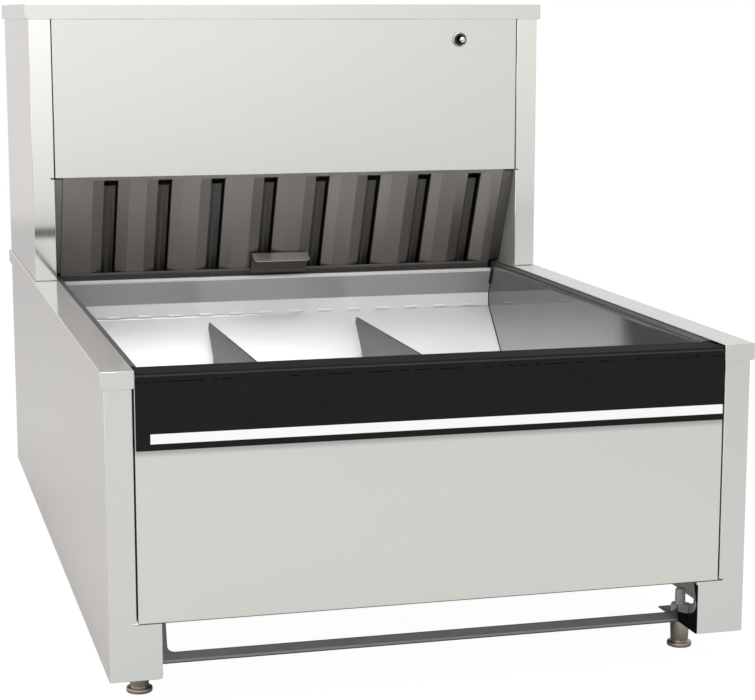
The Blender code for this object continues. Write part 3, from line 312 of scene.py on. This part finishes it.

# The front panel is painted darker in a hairline along its lower edge, as painted shade,
# and in a strip just under the trim, as the trim's painted shadow.
panel_steel = steel_along_x.copy()
panel_steel.name = "panel_steel"
panel_shader, panel_colour, panel_here = reopened(panel_steel)
panel_z = panel_here.along("Z")
edge_shade = 1.0 - between(panel_z, 0.0634, 0.0640)
trim_shadow = between(panel_z, 0.1765, 0.1815)
(edge_shade + 0.45 * trim_shadow).mix(panel_colour, (0.13, 0.13, 0.125)).feed(panel_shader, "Base Color")
rounded_copy("front_panel", fold_round, panel_steel)

# The lid of the hood has a slot in its left lip, close to the corner, painted dark as the shade in its
# opening.
lid_steel = steel_along_y_shaded.copy()
lid_steel.name = "lid_steel"
lid_shader, lid_colour, lid_here = reopened(lid_steel)
lid_y = lid_here.along("Y")
lid_z = lid_here.along("Z")
slot = (lid_y > 0.1419) * (lid_y < 0.1435) * (lid_z > 0.4654) * (lid_z < 0.4715)
slot.mix(lid_colour, (0.05, 0.05, 0.05)).feed(lid_shader, "Base Color")
rounded_copy("hood_cap", fold_round, steel_along_x, facing=[(to_left, lid_steel), (to_right, steel_along_y_shaded)])

# Side panels, rail caps and hood sides: pairs of folded sheets. A side panel's inside is
# painted pale, as painted light against the shade there, and its top edge is painted dark,
# as painted shade; the hood's sides have a duller grain inside.
inside_painted_light = brushed_steel("inside_painted_light", (0.93, 0.93, 0.92), (300.0, 300.0, 300.0), 0.5)
inside_painted_light.node_tree.nodes["Principled BSDF"].inputs["Metallic"].default_value = 0.2
inner_hood = brushed_steel("inner_hood", (0.62, 0.63, 0.57), (300.0, 300.0, 300.0), 0.45)
inner_hood.node_tree.nodes["Principled BSDF"].inputs["Metallic"].default_value = 0.7
for side, outward, inward in (("left", to_left, to_right), ("right", to_right, to_left)):
    panel_faces = [(to_front, steel_post), (to_above, top_edge_shade), (inward, inside_painted_light)]
    rounded_copy(f"side_panel_{side}", fold_round, steel_along_y_shaded, facing=panel_faces)
    cap_faces = [(to_front, steel_post), (outward, steel_along_y_shaded)]
    rounded_copy(f"rail_cap_{side}", fold_round, steel_rail, facing=cap_faces)
    hood_faces = [(to_front, steel_along_z), (inward, inner_hood)]
    rounded_copy(f"hood_side_{side}", fold_round, steel_along_y_shaded, facing=hood_faces)
for node in ("service_panel", "base_back_panel", "hood_back_panel"):
    rounded_copy(node, fold_round, steel_along_x)


# Hood lid corners: the front lip's ends are folded round and lie on the side lips.
def corner_tab(name, side):
    low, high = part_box("hood_cap")
    tab_width = 0.0052
    tab_sheet = 0.0005
    corner_round = 0.0006
    outer = high.x if side > 0 else low.x
    work = bmesh.new()
    bmesh.ops.create_cube(work, size=1.0)
    bmesh.ops.scale(work, vec=(tab_sheet, tab_width, (high.z - low.z) - 2 * corner_round), verts=work.verts)
    middle = (outer + side * 0.3 * tab_sheet, low.y + tab_width / 2 + corner_round, (low.z + high.z) / 2)
    bmesh.ops.translate(work, vec=middle, verts=work.verts)
    bmesh.ops.bevel(
        work, geom=work.edges[:], offset=0.3 * tab_sheet, offset_type="OFFSET", segments=2, profile=0.5,
        affect="EDGES", clamp_overlap=True, material=-1,
    )
    piece = add_piece(name, work, [steel_along_x])
    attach(piece, "cabinet")


corner_tab("lid_tab_left", -1)
corner_tab("lid_tab_right", 1)


# Front trim: a folded steel edge in satin black, with a white stripe near its foot and a
# film on its face whose upper edge shows as a faint broken line. The film is left plain.
trim_black, trim_shader, trim_here = finish("trim_black", (0.019, 0.019, 0.019), 0.0, 0.42)
trim_shader.inputs["IOR"].default_value = 1.03
trim_x = trim_here.along("X")
trim_y = trim_here.along("Y")
trim_z = trim_here.along("Z")
on_face = trim_y < -0.3600
stripe = (trim_z > 0.1865) * (trim_z < 0.1932) * (trim_x > -0.1998) * on_face
film_edge = (trim_z > 0.2279) * (trim_z < 0.2286) * on_face
dashes = noise(trim_here, (260.0, 1.0, 1.0), 1.0) > 0.5
cloud = noise(trim_here, (40.0, 40.0, 40.0), 3.0)
# A line along the fold is painted lighter, as a painted highlight.
fold = (trim_z > 0.2318) * (trim_z < 0.2330) * on_face
painted = cloud.mix((0.015, 0.015, 0.015), (0.020, 0.020, 0.020))
fold_highlighted = fold.mix(painted, (0.050, 0.050, 0.050))
lined = (film_edge * dashes).mix(fold_highlighted, (0.004, 0.004, 0.004))
stripe.mix(lined, (0.98, 0.98, 0.98)).feed(trim_shader, "Base Color")
(0.36 + 0.12 * cloud).feed(trim_shader, "Roughness")
peel = noise(trim_here, (900.0, 900.0, 900.0), 2.0)
raise_by(trim_shader, peel, 0.00001)
rounded_copy("front_trim", cut_round, trim_black)


# Bin liners: bright sheet that mirrors the bin, rolled out at the top under the rail caps,
# its colour painted dark as painted shade inside the bin. Above the bend the sheet is left
# dull and painted darker still, as painted shade under the caps.
liner_steel, liner_shader, liner_here = finish("liner_steel", (0.36, 0.36, 0.36), 1.0, 0.045)
liner_z = liner_here.along("Z")
rolled = between(liner_z, 0.2340, 0.2344)
liner_fine = noise(liner_here, (60.0, 60.0, 60.0), 3.0)
liner_scratch = noise(liner_here, (40.0, 700.0, 40.0), 2.0)
raise_by(liner_shader, 0.7 * liner_fine + 0.3 * liner_scratch, 0.00002)
liner_tone_and_shade = noise(liner_here, (9.0, 9.0, 9.0), 3.0).mix((0.150, 0.150, 0.150), (0.170, 0.170, 0.170))
roll_shade = liner_fine.mix((0.05, 0.05, 0.05), (0.07, 0.07, 0.07))
rolled.mix(liner_tone_and_shade, roll_shade).feed(liner_shader, "Base Color")
(0.5 * (1.0 - rolled)).feed(liner_shader, "Metallic")
(0.04 + 0.8 * rolled + 0.02 * noise(liner_here, (9.0, 22.0, 9.0), 3.0)).feed(liner_shader, "Roughness")
wall_x = 0.2040
bend_start = 0.2299
bend_end = 0.2095
bend_share = 0.22
for side in ("left", "right"):
    liner = rounded_copy(f"liner_{side}", thin_round, liner_steel)
    # The bend at the top is tighter than the solid's, so that the wall runs up to the cap.
    for corner in liner.data.vertices:
        reach = abs(corner.co.x)
        if corner.co.z > bend_start and reach < bend_end:
            corner.co.x *= (wall_x + bend_share * (reach - wall_x)) / reach

# Product pan: one bright sheet with a soft, rubbed shine, painted lighter towards the right
# and the top as painted light. Its leaning band at the top is painted duller, as painted
# shade, and the upright strip with the hem on the band's edge is painted near white, as
# painted light; the louvers' lips carry a painted highlight.
pan_steel, pan_shader, pan_here = finish("pan_steel", (0.93, 0.93, 0.93), 0.6, 0.40)
pan_y = pan_here.along("Y")
pan_z = pan_here.along("Z")
band = between(pan_z, 0.2045, 0.2052) * (1.0 - between(pan_z, 0.2258, 0.2264)) * (pan_y > 0.1)
pan_cloud = noise(pan_here, (9.0, 22.0, 9.0), 3.0)
pan_rub = noise(pan_here, (12.0, 600.0, 600.0), 3.0)
strip = between(pan_z, 0.1920, 0.1924)
pan_x = pan_here.along("X")
to_the_right = between(pan_x, -0.20, -0.05)
to_the_top = between(pan_z, 0.13, 0.18)
painted_light_and_rub = 0.6 * to_the_right + 0.2 * pan_cloud + 0.1 * pan_rub + 0.25 * to_the_top
slope = painted_light_and_rub.mix((0.53, 0.53, 0.53), (0.83, 0.83, 0.83))
bright = strip.mix(slope, (0.97, 0.97, 0.97))
band_shade = (0.6 * pan_cloud + 0.4 * pan_rub).mix((0.50, 0.50, 0.50), (0.55, 0.55, 0.55))
band.mix(bright, band_shade).feed(pan_shader, "Base Color")
(0.6 - 0.6 * strip * (1.0 - band)).feed(pan_shader, "Metallic")
(0.36 + 0.10 * pan_cloud).feed(pan_shader, "Roughness")
raise_by(pan_shader, pan_rub, 0.000006)
rounded_copy("product_pan", thin_round, pan_steel)


# Each louver's lip: a pressed bead over its slot, painted near white as a painted highlight.
def pan_lips():
    lip_count = 14
    lip_pitch = 0.02819
    lip_length = 0.0127
    lip_radius = 0.0006
    lip_sides = 10
    lip_place = (0.1572, 0.1932)
    work = bmesh.new()
    for number in range(lip_count):
        middle = (number - (lip_count - 1) / 2) * lip_pitch
        rows = []
        for x, share in ((-0.5, 0.2), (-0.46, 0.8), (-0.4, 1.0), (0.4, 1.0), (0.46, 0.8), (0.5, 0.2)):
            ring = []
            for step in range(lip_sides):
                angle = 2 * pi * step / lip_sides
                y = lip_place[0] + 0.7 * share * lip_radius * cos(angle)
                z = lip_place[1] + 1.2 * share * lip_radius * sin(angle)
                ring.append(work.verts.new((middle + x * lip_length, y, z)))
            rows.append(ring)
        for near, far in zip(rows, rows[1:]):
            for step in range(lip_sides):
                following = (step + 1) % lip_sides
                work.faces.new((near[step], near[following], far[following], far[step]))
        work.faces.new(rows[0])
        work.faces.new(list(reversed(rows[-1])))
    bmesh.ops.recalc_face_normals(work, faces=work.faces)
    piece = add_piece("louver_lips", work, [lip_highlight])
    piece.data.shade_smooth()
    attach(piece, "cabinet")


lip_highlight, lip_shader, lip_here = finish("lip_highlight", (0.98, 0.98, 0.98), 0.2, 0.3)
lip_cloud = noise(lip_here, (300.0, 300.0, 300.0), 2.0)
lip_cloud.mix((0.95, 0.95, 0.95), (1.0, 1.0, 1.0)).feed(lip_shader, "Base Color")
(0.25 + 0.1 * lip_cloud).feed(lip_shader, "Roughness")
raise_by(lip_shader, lip_cloud, 0.000005)
pan_lips()

# Dividers: two plates of dull satin sheet, hooked at the rear, that part the bin into three,
# painted near black as painted shade. Their rear edges are cut bright, and a line near the
# rear edge is painted light, as a painted highlight.
divider_steel, divider_shader, divider_here = finish("divider_steel", (0.12, 0.12, 0.12), 0.9, 0.42)
divider_rub = noise(divider_here, (600.0, 12.0, 600.0), 3.0)
divider_y = divider_here.along("Y")
divider_z = divider_here.along("Z")
hook_edge_highlight = between(divider_y - divider_z, -0.0372, -0.0364)
satin = divider_rub.mix((0.076, 0.076, 0.076), (0.096, 0.096, 0.096))
hook_edge_highlight.mix(satin, (0.80, 0.80, 0.80)).feed(divider_shader, "Base Color")
(0.38 + 0.10 * divider_rub).feed(divider_shader, "Roughness")
raise_by(divider_shader, divider_rub, 0.000006)
edge_steel, edge_shader, edge_here = finish("edge_steel", (0.75, 0.75, 0.75), 1.0, 0.3)
edge_cloud = noise(edge_here, (200.0, 200.0, 200.0), 3.0)
edge_cloud.mix((0.68, 0.68, 0.68), (0.80, 0.80, 0.80)).feed(edge_shader, "Base Color")
(0.25 + 0.12 * edge_cloud).feed(edge_shader, "Roughness")
raise_by(edge_shader, edge_cloud, 0.00001)
for side in ("left", "right"):
    rounded_copy(f"divider_{side}", cut_round, divider_steel, facing=[(to_rear, edge_steel)])


# Baffle filter: two layers of bent strips in one frame. Cooking vapour has browned the
# steel, which is darker towards the bottom; the strips deep in the gaps are darker still,
# as painted shade.
def filter_finish(name, colour, roughness):
    made, shader, here = finish(name, colour, 1.0, roughness)
    height = here.along("Z")
    film = noise(here, (14.0, 14.0, 5.0), 4.0, 0.8)
    grain = noise(here, (900.0, 900.0, 12.0), 3.0)
    low_edge = 1.0 - between(height, 0.225, 0.330)
    darker = tuple(0.62 * channel for channel in colour)
    tone = film.mix(tuple(0.96 * channel for channel in colour), tuple(1.12 * channel for channel in colour))
    # A strip along the filter's foot is painted dark, as painted shade in the gap below it.
    foot = 1.0 - between(height, 0.2340, 0.2346)
    foot.mix(low_edge.mix(tone, darker), (0.150, 0.142, 0.132)).feed(shader, "Base Color")
    (roughness + 0.10 * film + 0.05 * grain).feed(shader, "Roughness")
    raise_by(shader, 0.5 * film + 0.5 * grain, 0.00003)
    return made


filter_steel = filter_finish("filter_steel", (0.345, 0.317, 0.294), 0.40)
# The rear strips are a darker copy, as painted shade behind the front strips, with a black line of painted
# shade at the deep side of each gap.
rear_filter_shaded = filter_finish("rear_filter_shaded", (0.210, 0.204, 0.193), 0.60)
dark_shader, dark_colour, dark_here = reopened(rear_filter_shaded)
dark_x = dark_here.along("X")
gap_pitch = 0.0479
first_gap = -0.1606
from_gap = (dark_x - first_gap).math("FLOORED_MODULO", dark_x - first_gap, gap_pitch)
gap_shade = (from_gap > 0.0052) * (from_gap < 0.0300)
gap_shade.mix(dark_colour, (0.008, 0.008, 0.007)).feed(dark_shader, "Base Color")
# The handle is a dark copy, as painted shade on its strap, and its upward faces a pale copy, as painted
# light.
handle_shaded = filter_finish("handle_shaded", (0.17, 0.155, 0.14), 0.40)
handle_top_lit = filter_finish("handle_top_lit", (0.98, 0.93, 0.86), 0.40)
# The right guide is a dark grey copy of the filter steel, as painted shade.
guide_in_shade = filter_finish("guide_in_shade", (0.20, 0.20, 0.19), 0.40)
rounded_copy("filter_front_baffles", cut_round, filter_steel, 2, 20.0)
rounded_copy("filter_rear_baffles", cut_round, rear_filter_shaded, 2, 20.0)
rounded_copy("filter_handle", fold_round, handle_shaded, facing=[(to_above, handle_top_lit)])
rounded_copy("filter_guide_left", cut_round, filter_steel)
rounded_copy("filter_guide_right", cut_round, guide_in_shade)


# Bottom frame, deck and duct: galvanised sheet, whose zinc froze in flat crystals.
def zinc_sheet(name, colour, roughness=0.42):
    made, shader, here = finish(name, colour, 1.0, roughness)
    crystals = here.node("ShaderNodeTexVoronoi", {"feature": "F1"}, {"Vector": here, "Scale": 130.0}, "Color")
    tone = crystals.node("ShaderNodeSeparateColor", None, {0: crystals}, 0)
    dust = noise(here, (30.0, 30.0, 30.0), 4.0)
    darker = tuple(0.82 * channel for channel in colour)
    lighter = tuple(min(1.0, 1.12 * channel) for channel in colour)
    (0.6 * tone + 0.4 * dust).mix(darker, lighter).feed(shader, "Base Color")
    (roughness - 0.08 + 0.16 * tone).feed(shader, "Roughness")
    raise_by(shader, 0.5 * tone + 0.5 * dust, 0.00002)
    return made


# The frame's zinc is painted dark grey, as painted shade on the front cross rail's face. A lighter line runs
# near the rail's foot, and the foot itself is darker.
frame_zinc_shaded = zinc_sheet("frame_zinc_shaded", (0.17, 0.17, 0.17))
frame_shader, frame_tone, frame_here = reopened(frame_zinc_shaded)
frame_z = frame_here.along("Z")
rail_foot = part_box("front_cross_rail")[0].z
lighter_line = between(frame_z, rail_foot + 0.0008, rail_foot + 0.0012)
lighter_line = lighter_line * (1.0 - between(frame_z, rail_foot + 0.0024, rail_foot + 0.0028))
darker_foot = 1.0 - between(frame_z, rail_foot + 0.0004, rail_foot + 0.0008)
frame_lined = lighter_line.mix(frame_tone, (0.30, 0.30, 0.30))
darker_foot.mix(frame_lined, (0.04, 0.04, 0.04)).feed(frame_shader, "Base Color")
# A near-black zinc, as painted shade on the web at the rail's right end.
web_zinc_shaded = zinc_sheet("web_zinc_shaded", (0.012, 0.012, 0.012), 0.7)
# The foot brackets' zinc is painted near white, as painted light that lifts them out of the shade under the
# base.
zinc_sheet_painted_light = zinc_sheet("zinc_sheet_painted_light", (0.93, 0.93, 0.93))
deck_zinc = zinc_sheet("deck_zinc", (0.50, 0.50, 0.50))
for node in ("front_cross_rail", "rear_cross_rail"):
    rounded_copy(node, cut_round, frame_zinc_shaded)
for end in ("front", "rear"):
    for side in ("left", "right"):
        rounded_copy(f"foot_bracket_{end}_{side}", cut_round, zinc_sheet_painted_light)


# Ends of the front cross rail: a gusset carries the left end up to the floor, with a large
# round in its corner, and a web painted near black, as painted shade, ties the right end to
# the leg in front of it.
def end_plate(name, outline, along, material):
    """A sheet of that outline in metres, with its thickness along one axis."""
    work = bmesh.new()
    near = work.faces.new([work.verts.new(corner) for corner in outline])
    grown = bmesh.ops.extrude_face_region(work, geom=[near])
    moved = [item for item in grown["geom"] if isinstance(item, bmesh.types.BMVert)]
    bmesh.ops.translate(work, vec=along, verts=moved)
    bmesh.ops.recalc_face_normals(work, faces=work.faces)
    piece = add_piece(name, work, [material])
    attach(piece, "cabinet")


rail_low, rail_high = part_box("front_cross_rail")
rail_face_top = 0.0320
plate_sheet = 0.0012
plate_top = 0.0608
gusset_width = 0.0076
gusset_round = 0.0052
gusset_face = rail_low.y + 0.0001
gusset_foot = rail_face_top - 0.0004
gusset_reach = rail_low.x + gusset_width + gusset_round
gusset = [(rail_low.x, gusset_face, gusset_foot), (gusset_reach, gusset_face, gusset_foot)]
for step in range(9):
    angle = step * pi / 16
    x = rail_low.x + gusset_width + gusset_round * (1 - sin(angle))
    gusset.append((x, gusset_face, rail_face_top + gusset_round * (1 - cos(angle))))
gusset += [(rail_low.x + gusset_width - 0.0010, gusset_face, plate_top), (rail_low.x, gusset_face, plate_top)]
end_plate("rail_gusset", gusset, (0.0, plate_sheet, 0.0), frame_zinc_shaded)
web_profile = [
    (-0.3277, 0.0245), (-0.3277, 0.0316), (-0.3403, 0.0342), (-0.3500, 0.0372),
    (-0.3545, 0.0392), (-0.3575, 0.0418), (-0.3588, 0.0450), (-0.3586, 0.0475),
    (-0.3545, plate_top), (-0.3592, plate_top), (-0.3592, 0.0245),
]
web = [(rail_high.x - 0.0001, y, z) for y, z in web_profile]
end_plate("rail_web", web, (plate_sheet, 0.0, 0.0), web_zinc_shaded)
for node in (
    "base_floor", "hood_deck", "duct_baffle", "pan_support_left", "pan_support_right", "blower_housing",
):
    rounded_copy(node, cut_round, deck_zinc)
rounded_copy("blower_wheel", thin_round, deck_zinc, 1)


# Feet and nuts: turned steel with a thin yellowish zinc plate. The flange is what a
# spanner or the fingers turn, and the stem stands on it over a dark neck.
plate, plate_shader, plate_here = finish("zinc_plate", (0.50, 0.46, 0.38), 1.0, 0.34)
plate_cloud = noise(plate_here, (160.0, 160.0, 160.0), 3.0)
turning = noise(plate_here, (20.0, 20.0, 2600.0), 2.0)
plate_cloud.mix((0.40, 0.36, 0.29), (0.56, 0.52, 0.44)).feed(plate_shader, "Base Color")
(0.28 + 0.14 * plate_cloud).feed(plate_shader, "Roughness")
raise_by(plate_shader, turning, 0.00002)
# The studs and nuts are painted near white, as painted light that lifts them out of the shade under the base.
plate_painted_light, lit_plate_shader, lit_plate_here = finish("zinc_plate_painted_light", (0.95, 0.95, 0.94), 0.3, 0.5)
lit_plate_cloud = noise(lit_plate_here, (160.0, 160.0, 160.0), 3.0)
lit_plate_cloud.mix((0.93, 0.93, 0.92), (0.98, 0.98, 0.97)).feed(lit_plate_shader, "Base Color")
(0.45 + 0.1 * lit_plate_cloud).feed(lit_plate_shader, "Roughness")
raise_by(lit_plate_shader, lit_plate_cloud, 0.00001)


def foot_turning(name, node, body):
    """Spun from the same outline as the solid, with rounded edges and a threaded stud."""
    low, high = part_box(node)
    centre_x = (low.x + high.x) / 2
    centre_y = (low.y + high.y) / 2
    flange = (high.x - low.x) / 2
    round_off = 0.0007
    stud_foot = 0.0238
    outline = [(0.0, 0.0), (flange - round_off, 0.0)]
    for step in range(1, 5):
        angle = -pi / 2 + step * pi / 8
        outline.append((flange - round_off + round_off * cos(angle), round_off + round_off * sin(angle)))
    outline += [(flange, 0.0027), (flange - 0.0002, 0.0031), (flange - 0.0006, 0.0033)]
    outline += [(0.0066, 0.0033), (0.0062, 0.0036), (0.0061, 0.0041), (0.0064, 0.0045)]
    outline += [(0.0066, 0.0060), (0.0073, 0.0228), (0.0072, 0.0235), (0.0069, 0.0237), (0.0040, 0.0237)]
    thread_pitch = 0.00125
    thread_turns = 15
    for turn in range(thread_turns):
        base = 0.0240 + turn * thread_pitch
        outline += [(0.0036, base), (0.0040, base + 0.5 * thread_pitch)]
    outline += [(0.0034, high.z - 0.0003), (0.0030, high.z), (0.0, high.z)]
    work = bmesh.new()
    spots = [work.verts.new((radius, 0.0, height)) for radius, height in outline]
    edges = [work.edges.new(pair) for pair in zip(spots, spots[1:])]
    bmesh.ops.spin(
        work, geom=spots + edges, cent=(0, 0, 0), axis=(0, 0, 1), angle=2 * pi, steps=40, use_merge=True
    )
    bmesh.ops.remove_doubles(work, verts=work.verts, dist=0.000001)
    bmesh.ops.recalc_face_normals(work, faces=work.faces)
    bmesh.ops.translate(work, vec=(centre_x, centre_y, 0.0), verts=work.verts)
    piece = add_piece(name, work, [plate, plate_painted_light])
    piece.data.shade_smooth()
    piece.data.set_sharp_from_angle(angle=radians(40))
    for face in piece.data.polygons:
        face.material_index = 1 if face.center.z > stud_foot else 0
    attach(piece, body)
    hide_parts(node)


for end in ("front", "rear"):
    for side in ("left", "right"):
        node = f"foot_{end}_{side}"
        foot_turning(f"{node}_turned", node, node)
        rounded_copy(f"foot_nut_{end}_{side}", 0.0004, plate_painted_light, 1)

# Toggle switch: a satin nickel ring on a black moulded body, with a chromed bat lever.
chrome, chrome_shader, chrome_here = finish("chrome", (0.83, 0.83, 0.83), 1.0, 0.08)
chrome_cloud = noise(chrome_here, (300.0, 300.0, 300.0), 2.0)
chrome_cloud.mix((0.78, 0.78, 0.78), (0.88, 0.88, 0.88)).feed(chrome_shader, "Base Color")
(0.05 + 0.08 * chrome_cloud).feed(chrome_shader, "Roughness")
raise_by(chrome_shader, chrome_cloud, 0.000005)
moulded, moulded_shader, moulded_here = finish("moulded_black", (0.016, 0.016, 0.016), 0.0, 0.5)
moulded_cloud = noise(moulded_here, (500.0, 500.0, 500.0), 3.0)
moulded_cloud.mix((0.012, 0.012, 0.012), (0.022, 0.022, 0.022)).feed(moulded_shader, "Base Color")
(0.42 + 0.16 * moulded_cloud).feed(moulded_shader, "Roughness")
raise_by(moulded_shader, moulded_cloud, 0.00003)
nickel, nickel_shader, nickel_here = finish("satin_nickel", (0.52, 0.52, 0.50), 1.0, 0.32)
nickel_cloud = noise(nickel_here, (300.0, 300.0, 300.0), 2.0)
nickel_cloud.mix((0.48, 0.48, 0.46), (0.56, 0.56, 0.54)).feed(nickel_shader, "Base Color")
(0.28 + 0.08 * nickel_cloud).feed(nickel_shader, "Roughness")
raise_by(nickel_shader, nickel_cloud, 0.000005)
for node in ("switch_body", "terminal_block", "power_inlet"):
    rounded_copy(node, cut_round, moulded)


def spun(name, outline, centre, material, body, node):
    """A piece turned about an axis along Y: the outline is (radius, distance to the front)."""
    work = bmesh.new()
    spots = [work.verts.new((radius, -reach, 0.0)) for radius, reach in outline]
    edges = [work.edges.new(pair) for pair in zip(spots, spots[1:])]
    bmesh.ops.spin(
        work, geom=spots + edges, cent=(0, 0, 0), axis=(0, 1, 0), angle=2 * pi, steps=48, use_merge=True
    )
    bmesh.ops.remove_doubles(work, verts=work.verts, dist=0.000001)
    bmesh.ops.recalc_face_normals(work, faces=work.faces)
    bmesh.ops.translate(work, vec=centre, verts=work.verts)
    piece = add_piece(name, work, [material])
    piece.data.shade_smooth()
    piece.data.set_sharp_from_angle(angle=radians(40))
    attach(piece, body)
    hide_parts(node)


ring_low, ring_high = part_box("switch_ring")
ring_centre = ((ring_low.x + ring_high.x) / 2, ring_high.y, (ring_low.z + ring_high.z) / 2)
ring_outline = [
    (0.0054, 0.0), (0.0065, 0.0), (0.0065, 0.0015), (0.0063, 0.0020), (0.0059, 0.00235), (0.0056, 0.0024),
    (0.0054, 0.0022), (0.0054, 0.0),
]
spun("switch_ring_turned", ring_outline, ring_centre, nickel, "cabinet", "switch_ring")
lever_pivot = (ring_centre[0], 0.1085, ring_centre[2])
lever_ball = 0.0022
lever_tip = 0.0026
lever_outline = [(0.0, -lever_ball)]
for step in range(1, 7):
    angle = -pi / 2 + step * pi / 8
    lever_outline.append((lever_ball * cos(angle), lever_ball * sin(angle)))
lever_outline += [(0.0014, 0.0019), (0.0014, 0.0050), (0.0018, 0.0090), (0.0024, 0.0120), (0.0026, 0.0131)]
for step in range(1, 7):
    angle = step * pi / 12
    lever_outline.append((lever_tip * cos(angle), 0.0129 + lever_tip * sin(angle)))
lever_outline[-1] = (0.0, 0.0155)
spun("toggle_lever_turned", lever_outline, lever_pivot, chrome, "toggle", "toggle_lever")

# Warm-air works under the hood: motor, thermostat, heater rod and the wool in the walls.
enamel, enamel_shader, enamel_here = finish("motor_enamel", (0.09, 0.09, 0.10), 0.3, 0.42)
enamel_cloud = noise(enamel_here, (120.0, 120.0, 120.0), 3.0)
enamel_cloud.mix((0.07, 0.07, 0.08), (0.11, 0.11, 0.12)).feed(enamel_shader, "Base Color")
(0.36 + 0.14 * enamel_cloud).feed(enamel_shader, "Roughness")
raise_by(enamel_shader, enamel_cloud, 0.00004)
for node in ("blower_motor", "thermostat"):
    rounded_copy(node, 0.0004, enamel)
sheath, sheath_shader, sheath_here = finish("heater_sheath", (0.16, 0.14, 0.13), 0.8, 0.5)
sheath_cloud = noise(sheath_here, (60.0, 60.0, 60.0), 4.0)
sheath_cloud.mix((0.10, 0.085, 0.075), (0.20, 0.18, 0.17)).feed(sheath_shader, "Base Color")
(0.45 + 0.2 * sheath_cloud).feed(sheath_shader, "Roughness")
raise_by(sheath_shader, sheath_cloud, 0.00005)
wool, wool_shader, wool_here = finish("mineral_wool", (0.55, 0.50, 0.36), 0.0, 0.95)
fibres = noise(wool_here, (900.0, 60.0, 900.0), 5.0, 1.5)
fibres.mix((0.40, 0.35, 0.22), (0.66, 0.61, 0.46)).feed(wool_shader, "Base Color")
(0.85 + 0.15 * fibres).feed(wool_shader, "Roughness")
raise_by(wool_shader, fibres, 0.0006)
for node, material in (("heating_element", sheath), ("insulation_left", wool), ("insulation_right", wool)):
    frame["nodes"][node].data.materials.clear()
    frame["nodes"][node].data.materials.append(material)
